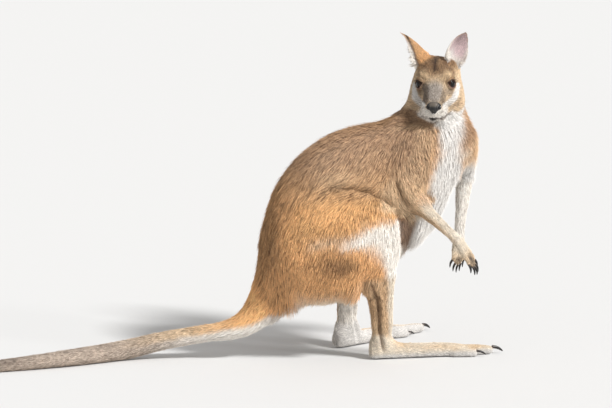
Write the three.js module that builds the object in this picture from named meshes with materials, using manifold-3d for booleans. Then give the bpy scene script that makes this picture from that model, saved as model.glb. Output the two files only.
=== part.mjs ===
// A life-size agile wallaby, resting on its two long hind feet and its tail.
//
// Millimetres, +Z up, +X the way the hips face, +Y the animal's left; the floor is z = 0.
// The flesh is one smooth body, blended from tapered limbs that run along curves. It is
// polygonised piece by piece and parted by thin cuts, so that each named part is one closed solid.
import * as THREE from "three";
import { mergeVertices } from "three/addons/utils/BufferGeometryUtils.js";
import Module from "manifold-3d";

const wasm = await Module();
wasm.setup();

// ---------------------------------------------------------------- driving dimensions
const GAP = 0.4; // the cut between two parts
const FOOT_LENGTH = 222; // heel to the end of the big toe, without its claw
const HEAD_PITCH = 18; // muzzle below the horizontal, degrees
const HEAD_HEADING = -109; // the head looks back over the right shoulder
const CHEST_HEADING = -64; // the chest is turned to the right of the hips
const EYE_RADIUS = 10.8;
const EYE_PLACE = [67, 21.5, 6]; // ahead of the back of the skull, outward and up
const EAR_WIDTH = 40;
const EAR_WALL = 3.4;
const SOLE_SINK = 2.5; // how far soft soles and tail are flattened by the floor

const FUR = { tan: "#b07f4e", pale: "#d9cbb8", white: "#e9e4dc", tail: "#a08a72", dark: "#5d4636" };

// ---------------------------------------------------------------- vectors and frames
const radians = THREE.MathUtils.degToRad;
const vec = (p) => new THREE.Vector3(...p);
const mix = (a, b, t) => a + (b - a) * t;

/** The point at forward, left and up of a frame that faces heading and is pitched nose down. */
function framed(origin, heading, pitch) {
  const h = radians(heading);
  const p = radians(pitch);
  const forward = new THREE.Vector3(Math.cos(h) * Math.cos(p), Math.sin(h) * Math.cos(p), -Math.sin(p));
  const left = new THREE.Vector3(-Math.sin(h), Math.cos(h), 0);
  const up = forward.clone().cross(left);
  const place = (f, l, u) =>
    vec(origin).addScaledVector(forward, f).addScaledVector(left, l).addScaledVector(up, u).toArray();
  return { forward, left, up, place };
}

// ---------------------------------------------------------------- limbs
/**
 * A tapered limb along a smooth curve through its stations. A station is
 * [point, heading, half width, half size above, half size below], where "above" is the side
 * that faces up when the limb runs level along its heading.
 */
class Limb {
  constructor(stations, stepsPerSpan = 5) {
    const curve = (pick) => new THREE.CatmullRomCurve3(stations.map(pick), false, "centripetal");
    this.path = curve((s) => vec(s[0]));
    this.sizes = curve((s) => new THREE.Vector3(s[2], s[3], s[4]));
    this.headings = stations.map((s) => s[1]);
    this.count = (stations.length - 1) * stepsPerSpan;
    this.rings = Array.from({ length: this.count + 1 }, (_, i) => this.ring(i / this.count));
    this.box = new THREE.Box3();
    for (const r of this.rings) {
      const reach = Math.max(...r.size);
      this.box.expandByPoint(vec(r.at).addScalar(reach));
      this.box.expandByPoint(vec(r.at).addScalar(-reach));
    }
  }

  /** Centre, axes and half sizes of the cross-section at t, from 0 to 1 along the limb. */
  ring(t) {
    const k = t * (this.headings.length - 1);
    const i = Math.min(Math.floor(k), this.headings.length - 2);
    const h = radians(mix(this.headings[i], this.headings[i + 1], k - i));
    const tangent = this.path.getTangent(t);
    const left = new THREE.Vector3(-Math.sin(h), Math.cos(h), 0);
    left.addScaledVector(tangent, -left.dot(tangent)).normalize();
    const above = tangent.clone().cross(left);
    return {
      at: this.path.getPoint(t).toArray(),
      tangent: tangent.toArray(),
      left: left.toArray(),
      above: above.toArray(),
      size: this.sizes.getPoint(t).toArray(),
    };
  }

  /** Signed distance to the limb's surface, close enough for blending, capped at far. */
  distance(x, y, z, far) {
    const b = this.box;
    const dx = Math.max(b.min.x - x, 0, x - b.max.x);
    const dy = Math.max(b.min.y - y, 0, y - b.max.y);
    const dz = Math.max(b.min.z - z, 0, z - b.max.z);
    if (dx * dx + dy * dy + dz * dz > far * far) return far;
    let best = far;
    for (let i = 0; i < this.count; i++) {
      const a = this.rings[i];
      const c = this.rings[i + 1];
      const ex = c.at[0] - a.at[0];
      const ey = c.at[1] - a.at[1];
      const ez = c.at[2] - a.at[2];
      const along = (x - a.at[0]) * ex + (y - a.at[1]) * ey + (z - a.at[2]) * ez;
      const t = Math.min(Math.max(along / (ex * ex + ey * ey + ez * ez), 0), 1);
      const qx = x - a.at[0] - t * ex;
      const qy = y - a.at[1] - t * ey;
      const qz = z - a.at[2] - t * ez;
      const axis = (u, k) => mix(a[u][k], c[u][k], t);
      const dot = (u) => qx * axis(u, 0) + qy * axis(u, 1) + qz * axis(u, 2);
      const side = dot("left");
      const rise = dot("above");
      const past = dot("tangent");
      const wide = mix(a.size[0], c.size[0], t);
      const high = rise > 0 ? mix(a.size[1], c.size[1], t) : mix(a.size[2], c.size[2], t);
      const round = Math.min(wide, high);
      const share = Math.hypot(side / wide, rise / high, past / round);
      const reach = Math.hypot(qx, qy, qz);
      const d = share < 1e-6 ? -round : reach - reach / share;
      if (d < best) best = d;
    }
    return best;
  }
}

/** An egg-shaped muscle or bone bulge: a limb of one short span. */
function bulge(frame, at, sizes) {
  const [f, l, u] = at;
  const [long, wide, high] = sizes;
  const half = Math.max(long - Math.min(wide, high), 0.5);
  const heading = THREE.MathUtils.radToDeg(Math.atan2(frame.forward.y, frame.forward.x));
  return new Limb(
    [
      [frame.place(f - half, l, u), heading, wide, high, high],
      [frame.place(f, l, u), heading, wide * 1.04, high * 1.04, high * 1.04],
      [frame.place(f + half, l, u), heading, wide, high, high],
    ],
    3,
  );
}

/** Several bodies as one whose joins are rounded over about the given softness. */
function blended(softness, ...parts) {
  return {
    distance(x, y, z, far) {
      let d = Infinity;
      for (const part of parts) {
        const e = part.distance(x, y, z, far + softness);
        const h = Math.max(softness - Math.abs(d - e), 0);
        d = Math.min(d, e) - (h * h) / (4 * softness);
      }
      return d;
    },
  };
}

// ---------------------------------------------------------------- solids
const solidOf = (geometry) => {
  const bare = geometry.clone();
  for (const name of Object.keys(bare.attributes)) if (name !== "position") bare.deleteAttribute(name);
  const merged = mergeVertices(bare, 1e-4);
  return new wasm.Manifold(
    new wasm.Mesh({
      numProp: 3,
      vertProperties: merged.attributes.position.array,
      triVerts: new Uint32Array(merged.index.array),
    }),
  );
};

function geometryOf(solid) {
  const mesh = solid.getMesh();
  const places = new Float32Array(mesh.numVert * 3);
  for (let i = 0; i < mesh.numVert; i++) {
    places.set(mesh.vertProperties.subarray(i * mesh.numProp, i * mesh.numProp + 3), i * 3);
  }
  const geometry = new THREE.BufferGeometry();
  geometry.setAttribute("position", new THREE.BufferAttribute(places, 3));
  geometry.setIndex(new THREE.BufferAttribute(mesh.triVerts, 1));
  geometry.computeVertexNormals();
  return geometry;
}

/**
 * The surface where field equals level, as a net with one vertex for each cell that it crosses.
 * frame turns the grid, so that its cells may be longer along a limb than across it.
 */
function net(field, { centre, frame, half, cell }, level = 0) {
  const place = new THREE.Matrix4().makeBasis(frame.forward, frame.left, frame.up).setPosition(vec(centre));
  const n = half.map((h, k) => Math.ceil((2 * h) / cell[k]) + 1);
  const step = n.map((c, k) => (2 * half[k]) / (c - 1));
  const point = new THREE.Vector3();
  const index = (i, j, k) => (k * n[1] + j) * n[0] + i;
  const values = new Float32Array(n[0] * n[1] * n[2]);
  const world = (i, j, k) =>
    point.set(i * step[0] - half[0], j * step[1] - half[1], k * step[2] - half[2]).applyMatrix4(place);
  const onRim = (i, j, k) => [i, j, k].some((c, axis) => c === 0 || c === n[axis] - 1);
  for (let k = 0; k < n[2]; k++)
    for (let j = 0; j < n[1]; j++)
      for (let i = 0; i < n[0]; i++) {
        world(i, j, k);
        const d = field(point.x, point.y, point.z) - level;
        values[index(i, j, k)] = onRim(i, j, k) ? Math.max(d, 0.01) : d || 1e-6;
      }
  const corners = [0, 1, 2, 3, 4, 5, 6, 7].map((c) => [c & 1, (c >> 1) & 1, c >> 2]);
  const edges = [];
  for (let a = 0; a < 8; a++) for (const bit of [1, 2, 4]) if (!(a & bit)) edges.push([a, a | bit]);
  const vertexOf = new Int32Array(values.length).fill(-1);
  const places = [];
  for (let k = 0; k < n[2] - 1; k++)
    for (let j = 0; j < n[1] - 1; j++)
      for (let i = 0; i < n[0] - 1; i++) {
        const at = corners.map((c) => values[index(i + c[0], j + c[1], k + c[2])]);
        const crossed = edges.filter(([a, b]) => at[a] < 0 !== at[b] < 0);
        if (!crossed.length) continue;
        const sum = [0, 0, 0];
        for (const [a, b] of crossed) {
          const t = at[a] / (at[a] - at[b]);
          for (let axis = 0; axis < 3; axis++) sum[axis] += mix(corners[a][axis], corners[b][axis], t);
        }
        world(i + sum[0] / crossed.length, j + sum[1] / crossed.length, k + sum[2] / crossed.length);
        vertexOf[index(i, j, k)] = places.length / 3;
        places.push(...settled(field, point, level, Math.min(...step) / 2));
      }
  const triangles = [];
  const quad = (a, b, c, d, flip) => triangles.push(...(flip ? [a, c, b, a, d, c] : [a, b, c, a, c, d]));
  const turns = [
    [1, 0, 0, [0, 1, 1], [0, 0, 1], [0, 0, 0], [0, 1, 0]],
    [0, 1, 0, [1, 0, 1], [1, 0, 0], [0, 0, 0], [0, 0, 1]],
    [0, 0, 1, [1, 1, 0], [0, 1, 0], [0, 0, 0], [1, 0, 0]],
  ];
  for (let k = 0; k < n[2] - 1; k++)
    for (let j = 0; j < n[1] - 1; j++)
      for (let i = 0; i < n[0] - 1; i++) {
        const inside = values[index(i, j, k)] < 0;
        for (const [di, dj, dk, ...cells] of turns) {
          if (inside === values[index(i + di, j + dj, k + dk)] < 0) continue;
          quad(...cells.map(([a, b, c]) => vertexOf[index(i - a, j - b, k - c)]), !inside);
        }
      }
  const geometry = new THREE.BufferGeometry();
  geometry.setAttribute("position", new THREE.BufferAttribute(new Float32Array(places), 3));
  geometry.setIndex(triangles);
  return geometry;
}

/** point moved onto the field's surface along its slope, by at most limit. */
function settled(field, point, level, limit) {
  const from = point.clone();
  const h = 0.2;
  if (Math.abs(field(point.x, point.y, point.z) - level) > 1.5 * limit) return from.toArray();
  for (let round = 0; round < 3; round++) {
    const { x, y, z } = point;
    const d = field(x, y, z) - level;
    const slope = new THREE.Vector3(
      field(x + h, y, z) - field(x - h, y, z),
      field(x, y + h, z) - field(x, y - h, z),
      field(x, y, z + h) - field(x, y, z - h),
    ).divideScalar(2 * h);
    const steep = slope.lengthSq();
    if (steep < 0.01) break;
    point.addScaledVector(slope, -d / steep);
  }
  const moved = point.clone().sub(from).clampLength(0, limit);
  return from.add(moved).toArray();
}

/** A closed tube of rings along a limb, with a rounded cap at each end. grow thickens it. */
function loft(limb, sides, ringCount, grow = 0) {
  const places = [];
  const ringAt = (ring, shift, scale) => {
    const [ox, oy, oz] = ring.at.map((c, k) => c + ring.tangent[k] * shift);
    for (let s = 0; s < sides; s++) {
      const angle = (2 * Math.PI * s) / sides;
      const a = Math.cos(angle) * (ring.size[0] + grow) * scale;
      const rise = Math.sin(angle);
      const b = rise * ((rise > 0 ? ring.size[1] : ring.size[2]) + grow) * scale;
      places.push(
        ox + a * ring.left[0] + b * ring.above[0],
        oy + a * ring.left[1] + b * ring.above[1],
        oz + a * ring.left[2] + b * ring.above[2],
      );
    }
  };
  const first = limb.ring(0);
  const last = limb.ring(1);
  const capOf = (ring) => Math.min(...ring.size) + grow;
  ringAt(first, -0.7 * capOf(first), 0.7);
  for (let r = 0; r <= ringCount; r++) ringAt(limb.ring(r / ringCount), 0, 1);
  ringAt(last, 0.7 * capOf(last), 0.7);
  const rows = ringCount + 3;
  const tips = [
    [first, -capOf(first)],
    [last, capOf(last)],
  ];
  for (const [ring, shift] of tips) places.push(...ring.at.map((c, k) => c + ring.tangent[k] * shift));
  const triangles = [];
  for (let r = 0; r < rows - 1; r++)
    for (let s = 0; s < sides; s++) {
      const a = r * sides + s;
      const b = r * sides + ((s + 1) % sides);
      triangles.push(a, b, b + sides, a, b + sides, a + sides);
    }
  for (let s = 0; s < sides; s++) {
    const next = (s + 1) % sides;
    triangles.push(rows * sides, next, s);
    triangles.push(rows * sides + 1, (rows - 1) * sides + s, (rows - 1) * sides + next);
  }
  const geometry = new THREE.BufferGeometry();
  geometry.setAttribute("position", new THREE.BufferAttribute(new Float32Array(places), 3));
  geometry.setIndex(triangles);
  return solidOf(geometry);
}

/**
 * A closed tube around part of a limb's path, from t = from to t = to, whose rings lie on the
 * field's surface, no further than limit from the path.
 */
function tube(limb, field, { sides, rings, from = 0, to = 1, limit = 90 }) {
  const places = [];
  const point = new THREE.Vector3();
  for (let r = 0; r <= rings; r++) {
    const ring = limb.ring(mix(from, to, r / rings));
    const [left, above, at] = [vec(ring.left), vec(ring.above), vec(ring.at)];
    for (let s = 0; s < sides; s++) {
      const angle = (2 * Math.PI * (s + 0.5)) / sides;
      const ray = left.clone().multiplyScalar(Math.cos(angle)).addScaledVector(above, Math.sin(angle));
      let near = 0;
      let reach = 3;
      const outside = (d) => {
        point.copy(at).addScaledVector(ray, d);
        return field(point.x, point.y, point.z) > 0;
      };
      while (reach < limit && !outside(reach)) [near, reach] = [reach, reach + 3];
      for (let k = 0; k < 7; k++) {
        const middle = (near + reach) / 2;
        if (outside(middle)) reach = middle;
        else near = middle;
      }
      places.push(...at.clone().addScaledVector(ray, reach).toArray());
    }
  }
  for (const t of [from, to]) places.push(...limb.ring(t).at);
  const triangles = [];
  for (let s = 0; s < sides; s++) {
    const next = (s + 1) % sides;
    for (let r = 0; r < rings; r++) {
      const [a, b] = [r * sides + s, r * sides + next];
      triangles.push(a, b, b + sides, a, b + sides, a + sides);
    }
    const tip = (rings + 1) * sides;
    triangles.push(tip, next, s, tip + 1, rings * sides + s, rings * sides + next);
  }
  const geometry = new THREE.BufferGeometry();
  geometry.setAttribute("position", new THREE.BufferAttribute(new Float32Array(places), 3));
  geometry.setIndex(triangles);
  return solidOf(geometry);
}

/** A box that runs from one point to another, with a half width and half height across that line. */
function slab(from, to, halfWidth, halfHeight = halfWidth) {
  const [a, b] = [vec(from), vec(to)];
  const forward = b.clone().sub(a);
  const length = forward.length();
  forward.normalize();
  const upright = Math.abs(forward.z) > 0.9;
  const across = upright ? new THREE.Vector3(0, 1, 0) : new THREE.Vector3(0, 0, 1).cross(forward);
  const left = across.addScaledVector(forward, -across.dot(forward)).normalize();
  const up = forward.clone().cross(left);
  const centre = a.add(b).multiplyScalar(0.5);
  const turn = new THREE.Matrix4().makeBasis(forward, left, up).setPosition(centre);
  return (grow) => {
    const sizes = [length / 2, halfWidth, halfHeight].map((half) => 2 * (half + grow));
    return solidOf(new THREE.BoxGeometry(...sizes).applyMatrix4(turn));
  };
}

// ---------------------------------------------------------------- the animal
// trunk, from the tail root over the hips to the base of the neck; the chest turns to the right
const trunk = new Limb([
  [[-150, 3, 125], 0, 40, 30, 40],
  [[-112, 0, 185], 0, 80, 62, 75],
  [[-70, 0, 255], -3, 90, 84, 95],
  [[-8, -3, 295], -12, 92, 96, 124],
  [[55, -14, 309], -30, 82, 94, 125],
  [[100, -36, 332], -52, 62, 96, 62],
  [[120, -40, 370], -64, 44, 62, 50],
]);

// head
const headFrame = framed([141, 18, 479], HEAD_HEADING, HEAD_PITCH);
const face = headFrame.place;
const skull = new Limb([
  [face(0, 0, -3), HEAD_HEADING, 34, 26, 30],
  [face(36, 0, -2), HEAD_HEADING, 39, 30, 40],
  [face(58, 0, -2), HEAD_HEADING, 32, 27, 38],
  [face(78, 0, -4), HEAD_HEADING, 22, 21, 33],
  [face(100, 0, -10), HEAD_HEADING, 22, 18, 31],
  [face(118, 0, -15), HEAD_HEADING, 22, 14, 24],
  [face(128, 0, -18), HEAD_HEADING, 18, 11, 19],
]);
const neck = new Limb([
  [[122, -32, 378], CHEST_HEADING, 58, 58, 46],
  [[132, -14, 425], -85, 48, 44, 40],
  [face(14, 0, -8), HEAD_HEADING, 30, 26, 30],
]);
const cheeks = [-1, 1].map((side) => bulge(headFrame, [50, side * 25, -27], [33, 16, 19]));
const brows = [-1, 1].map((side) => bulge(headFrame, [56, side * 18, 18], [15, 9, 7]));

/** An arm hanging from the shoulder; heading is the way its back of the hand faces. */
function arm({ shoulder, elbow, wrist, knuckles, heading }) {
  const along = (from, to, t) => from.map((c, k) => mix(c, to[k], t));
  const upper = new Limb([
    [shoulder, heading, 32, 33, 33],
    [along(shoulder, elbow, 0.5), heading, 24, 27, 27],
    [elbow, heading, 16, 18, 18],
  ]);
  const lower = new Limb([
    [elbow, heading, 15, 16, 16],
    [along(elbow, wrist, 0.3), heading, 15, 15, 14],
    [along(elbow, wrist, 0.72), heading, 11, 11, 10],
    [wrist, heading, 11, 10, 9],
    [knuckles, heading, 15, 8, 8],
  ]);
  const tangent = vec(knuckles).sub(vec(wrist)).normalize();
  const h = radians(heading);
  const left = new THREE.Vector3(-Math.sin(h), Math.cos(h), 0);
  left.addScaledVector(tangent, -left.dot(tangent)).normalize();
  const back = tangent.clone().cross(left);
  const place = (t, l, u) =>
    vec(knuckles).addScaledVector(tangent, t).addScaledVector(left, l).addScaledVector(back, u).toArray();
  return { shoulder, elbow, wrist, knuckles, heading, upper, lower, place };
}
const rightArm = arm({
  shoulder: [88.6, -58.2, 362],
  elbow: [58, -92.6, 285],
  wrist: [132, -131, 213],
  knuckles: [149, -138, 187],
  heading: -52,
});
const leftArm = arm({
  shoulder: [163, -37, 363],
  elbow: [189, 11, 308],
  wrist: [177, 5, 194],
  knuckles: [176, 3, 168],
  heading: -75,
});

/**
 * A hind leg that stands on a heel point; side is +1 for the left leg and -1 for the right, and
 * ankle is how far the middle of the ankle stands ahead of the heel point.
 */
function leg({ side, heel, heading, hip, knee, ankle }) {
  const ground = framed(heel, heading, 0);
  const foot = (f, out, u) => ground.place(f, side * out, u);
  const middle = [-50, side * 68, 207];
  const swing = THREE.MathUtils.radToDeg(Math.atan2(knee[1] - hip[1], knee[0] - hip[0]));
  const thigh = new Limb([
    [hip, swing, 44, 55, 97],
    [middle, swing, 46, 58, 100],
    [knee, swing, 31, 35, 57],
  ]);
  const down = (t, f, out, u) => foot(f, out, u).map((c, k) => mix(c, knee[k], t));
  const shank = new Limb([
    [knee, heading, 30, 29, 40],
    [down(0.7, ankle, 4, 45), heading, 27, 28, 47],
    [down(0.34, ankle, 4, 45), heading, 19, 22, 27],
    [foot(ankle, 4, 62), heading, 16, 22, 20],
    [foot(ankle + 1, 3, 34), heading, 15, 20, 20],
  ]);
  const sole = SOLE_SINK;
  const instep = new Limb([
    [foot(11, 1, 15), heading, 14, 15, 15 + sole],
    [foot(50, 0, 14), heading, 14, 13, 14 + sole],
    [foot(100, 0, 13), heading, 15, 12, 13 + sole],
    [foot(140, 0, 12), heading, 16, 12, 12 + sole],
    [foot(160, 0, 11), heading, 14, 10.5, 11 + sole],
  ]);
  return { side, heading, ground, foot, hip, knee, ankle, middle, thigh, shank, instep };
}
const rightLeg = leg({
  side: -1,
  heel: [1, -49, 0],
  heading: -2,
  hip: [-112, -42, 188],
  knee: [18, -80, 226],
  ankle: 24,
});
const leftLeg = leg({
  side: 1,
  heel: [-31, 49, 0],
  heading: 30,
  hip: [-112, 42, 188],
  knee: [14, 90, 224],
  ankle: 33,
});

// tail, laid on the floor in a gentle S
const onFloor = (x, y, half) => [[x, y, half - SOLE_SINK], 180, half, half * 0.95, half];
const tail = new Limb(
  [
    [[-148, 5, 108], 180, 38, 34, 40],
    [[-202, 4, 57], 180, 24, 23, 22],
    [[-266, 22, 43], 180, 18, 17, 16],
    [[-330, 38, 31], 180, 18, 18, 17],
    onFloor(-403, 44, 19),
    onFloor(-482, 20, 17),
    onFloor(-556, 6, 14.5),
    onFloor(-629, -2, 11.8),
    onFloor(-700, -9, 9),
    onFloor(-742, -14, 6.5),
  ],
  4,
);

const haunch = (l) => blended(22, l.thigh, l.shank);
const headFlesh = blended(12, skull, ...cheeks, ...brows);
const core = blended(
  26,
  blended(24, trunk, blended(20, neck, headFlesh), rightArm.upper, leftArm.upper),
  blended(14, haunch(rightLeg), haunch(leftLeg)),
  tail,
);
const flesh = blended(12, core, rightArm.lower, leftArm.lower, rightLeg.instep, leftLeg.instep);
const surface = (x, y, z) => flesh.distance(x, y, z, 40);

// ---------------------------------------------------------------- parts
const object = new THREE.Group();
object.name = "wallaby";
const groupOf = (name) => {
  const group = new THREE.Group();
  group.name = name;
  object.add(group);
  return group;
};
const headGroup = groupOf("head_group");
const bodyGroup = groupOf("body_group");
const tailGroup = groupOf("tail_group");
const sideGroups = {
  right: { arm: groupOf("right_arm"), leg: groupOf("right_leg") },
  left: { arm: groupOf("left_arm"), leg: groupOf("left_leg") },
};

const FINISH = {
  fur: { roughness: 0.9, metalness: 0 },
  horn: { roughness: 0.35, metalness: 0 },
  moist: { roughness: 0.3, metalness: 0 },
};
const HORN = "#1d1a18";

/** The largest piece of a solid; slivers left by a cut that grazes the surface are dropped. */
const whole = (solid) => solid.decompose().reduce((a, b) => (a.volume() > b.volume() ? a : b));

function add(group, name, solid, color, finish = FINISH.fur) {
  const material = new THREE.MeshStandardMaterial({ color, ...finish });
  material.name = name;
  const geometry = geometryOf(whole(solid));
  geometry.computeBoundingBox();
  const middle = geometry.boundingBox.getCenter(new THREE.Vector3()).round();
  geometry.translate(-middle.x, -middle.y, -middle.z);
  const mesh = new THREE.Mesh(geometry, material);
  mesh.name = name;
  mesh.position.copy(middle);
  group.add(mesh);
}

const floor = slab([-900, 0, -50], [500, 0, -50], 400, 50)(0);
const skin = (region) => solidOf(net(surface, region));
const upright = framed([0, 0, 0], 0, 0);

// Each cutter is a box; a part is the flesh inside its own cutter and outside the earlier ones.
const cutters = [];
function part(group, name, body, cutter, color, extras = []) {
  let solid = body.subtract(floor);
  if (cutter) solid = solid.intersect(cutter(0));
  for (const earlier of cutters) solid = solid.subtract(earlier(GAP));
  for (const extra of extras) solid = solid.subtract(extra);
  if (cutter) cutters.push(cutter);
  add(group, name, solid, color);
}

// head with eyes, nose pad and ears
const eye = (side, grow) =>
  solidOf(
    new THREE.SphereGeometry(EYE_RADIUS + grow, 10, 8).applyMatrix4(
      new THREE.Matrix4()
        .makeBasis(headFrame.forward, headFrame.left, headFrame.up)
        .setPosition(vec(face(...EYE_PLACE.map((c, k) => (k === 1 ? c * side : c))))),
    ),
  );
const nosePad = new Limb(
  [
    [face(122, 0, -10.5), HEAD_HEADING, 13.2, 9.5, 13.5],
    [face(131, 0, -12.5), HEAD_HEADING, 12.4, 8.8, 12.5],
  ],
  3,
);

/** An ear: a blade rolled into a cup, closed at its root and open towards its front. */
function ear({ root, tip, opening, lean, outline, curl }) {
  const rows = 8;
  const columns = 7;
  const up = vec(tip).sub(vec(root));
  const length = up.length();
  up.normalize();
  const front = vec(opening);
  front.addScaledVector(up, -front.dot(up)).normalize();
  const side = up.clone().cross(front);
  const profile = (values) => new THREE.CatmullRomCurve3(values.map((v, i) => new THREE.Vector3(i, v, 0)));
  const widths = profile(outline);
  const rolls = profile(curl);
  const places = [];
  for (const skinSide of [1, -1])
    for (let i = 0; i <= rows; i++) {
      const s = i / rows;
      const wide = widths.getPoint(s).y * (EAR_WIDTH / 2);
      const roll = radians(rolls.getPoint(s).y);
      const radius = wide / Math.sin(Math.min(roll, Math.PI / 2));
      const bend = lean * Math.sin(Math.PI * s);
      for (let j = 0; j <= columns; j++) {
        const t = (2 * j) / columns - 1;
        const thin = 1 - 0.55 * Math.pow(Math.abs(t), 4) - 0.35 * s;
        const r = radius + skinSide * (EAR_WALL / 2) * thin;
        const a = t * roll;
        const p = vec(root).addScaledVector(up, s * length);
        p.addScaledVector(side, r * Math.sin(a));
        p.addScaledVector(front, radius * 0.6 - r * Math.cos(a) - bend);
        places.push(...p.toArray());
      }
    }
  const row = columns + 1;
  const sheet = row * (rows + 1);
  const triangles = [];
  const quad = (a, b, c, d) => triangles.push(a, c, b, a, d, c);
  for (let i = 0; i < rows; i++)
    for (let j = 0; j < columns; j++) {
      const a = i * row + j;
      quad(a, a + 1, a + 1 + row, a + row);
      quad(sheet + a, sheet + a + row, sheet + a + row + 1, sheet + a + 1);
    }
  for (let i = 0; i < rows; i++) {
    const a = i * row;
    quad(a, a + row, sheet + a + row, sheet + a);
    const b = a + columns;
    quad(b, sheet + b, sheet + b + row, b + row);
  }
  for (let j = 0; j < columns; j++) {
    quad(j, sheet + j, sheet + j + 1, j + 1);
    const b = rows * row + j;
    quad(b, b + 1, sheet + b + 1, sheet + b);
  }
  const geometry = new THREE.BufferGeometry();
  geometry.setAttribute("position", new THREE.BufferAttribute(new Float32Array(places), 3));
  geometry.setIndex(triangles);
  return solidOf(geometry);
}
const direction = (f, l, u) => vec(face(f, l, u)).sub(vec(face(0, 0, 0))).toArray();
const ears = {
  right: {
    root: face(9, -13, 17),
    tip: face(-8, -65, 64),
    opening: direction(0.15, -1, -0.4),
    lean: 1.5,
    outline: [0.7, 0.95, 0.96, 0.88, 0.62, 0.12],
    curl: [150, 116, 94, 78, 62, 30],
  },
  left: {
    root: face(12, 22, 11),
    tip: face(-12, 50, 65),
    opening: direction(1, 0.3, 0),
    lean: 3,
    outline: [0.5, 0.68, 0.88, 0.88, 0.67, 0.12],
    curl: [150, 112, 82, 62, 48, 30],
  },
};

const headBox = slab(face(-60, 0, 24), face(190, 0, 24), 75, 68);
const headAxis = new Limb([
  [face(-24, 0, -4), HEAD_HEADING, 9, 9, 9],
  [face(141, 0, -14), HEAD_HEADING, 9, 9, 9],
]);
const headBody = (grow) => {
  const field = (x, y, z) => surface(x, y, z) - grow;
  return tube(headAxis, field, { sides: 20, rings: 18, limit: 72 });
};
part(headGroup, "head", headBody(0), headBox, FUR.tan, [eye(1, GAP), eye(-1, GAP)]);
const clear = headBody(GAP);
for (const [name, spec] of Object.entries(ears)) {
  add(headGroup, `ear_${name}`, ear(spec).subtract(clear), FUR.tan);
}
for (const [name, side] of Object.entries({ right: -1, left: 1 })) {
  add(headGroup, `eye_${name}`, eye(side, 0), "#241a15", FINISH.moist);
}
add(headGroup, "nose", loft(nosePad, 12, 1).subtract(clear), "#2b2523", FINISH.moist);

const neckBox = slab([114, -40, 390], face(15, 0, 10), 66, 66);
const neckAxis = new Limb([[[118, -36, 370], -90, 40, 40, 40], [[134, 6, 470], -90, 40, 40, 40]]);
part(bodyGroup, "neck", tube(neckAxis, surface, { sides: 20, rings: 6, limit: 85 }), neckBox, FUR.tan);

// arms
const FINGERS = [-2, -1, 0, 1, 2];
for (const [name, a] of [["right", rightArm], ["left", leftArm]]) {
  const group = sideGroups[name].arm;
  const past = (from, to, beyond) => from.map((c, k) => mix(c, to[k], 1 + beyond));
  const upperBox = slab(past(a.elbow, a.shoulder, 0.3), past(a.shoulder, a.elbow, 0.4), 34, 34);
  const lowerBox = slab(past(a.wrist, a.elbow, -0.1), past(a.elbow, a.wrist, 0), 24, 24);
  const handBox = slab(a.wrist, past(a.wrist, a.knuckles, 1), 26, 26);

  // fingers end in claws that sit in sockets
  const fingers = FINGERS.map((n) => {
    const long = 25 - 2.2 * n * n;
    const spread = n * 5.6;
    const finger = new Limb([
      [a.place(-4, n * 4.9, -0.5), a.heading, 4.4, 4.6, 4.4],
      [a.place(long * 0.45, n * 5.4, 0.6), a.heading, 4, 4.3, 4],
      [a.place(long - 3, spread, -2), a.heading, 3.2, 3.4, 3.2],
    ]);
    const claw = new Limb([
      [a.place(long - 1, spread * 1.01, -1.8), a.heading, 2, 2.3, 2],
      [a.place(long + 7, spread * 1.06, -3.2), a.heading, 1.5, 1.8, 1.5],
      [a.place(long + 11.5, spread * 1.12, -6.5), a.heading, 0.5, 0.6, 0.5],
    ]);
    return { finger, claw };
  });
  const palm = tube(a.lower, surface, { sides: 10, rings: 4, from: 0.68, to: 1, limit: 22 });
  let hand = palm.intersect(handBox(0));
  for (const { finger } of fingers) hand = hand.add(loft(finger, 5, 2));
  add(group, `hand_${name}`, hand, FUR.dark);
  fingers.forEach(({ finger, claw }, i) => {
    const horn = loft(claw, 4, 2).subtract(loft(finger, 5, 2, GAP));
    add(group, `claw_hand_${name}_${i + 1}`, horn, HORN, FINISH.horn);
  });
  cutters.push(handBox);

  const forearm = tube(a.lower, surface, { sides: 12, rings: 7, from: 0.01, to: 0.78, limit: 26 });
  part(group, `forearm_${name}`, forearm, lowerBox, FUR.pale);

  const along = vec(a.elbow).sub(vec(a.shoulder)).normalize();
  const across = new THREE.Vector3(0, 0, 1).cross(along).normalize();
  const region = {
    centre: a.shoulder.map((c, k) => (c + a.elbow[k]) / 2),
    frame: { forward: along, left: across, up: along.clone().cross(across) },
    half: [85, 48, 48],
    cell: [15, 14, 14],
  };
  part(group, `upper_arm_${name}`, skin(region), upperBox, FUR.tan);
}

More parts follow.
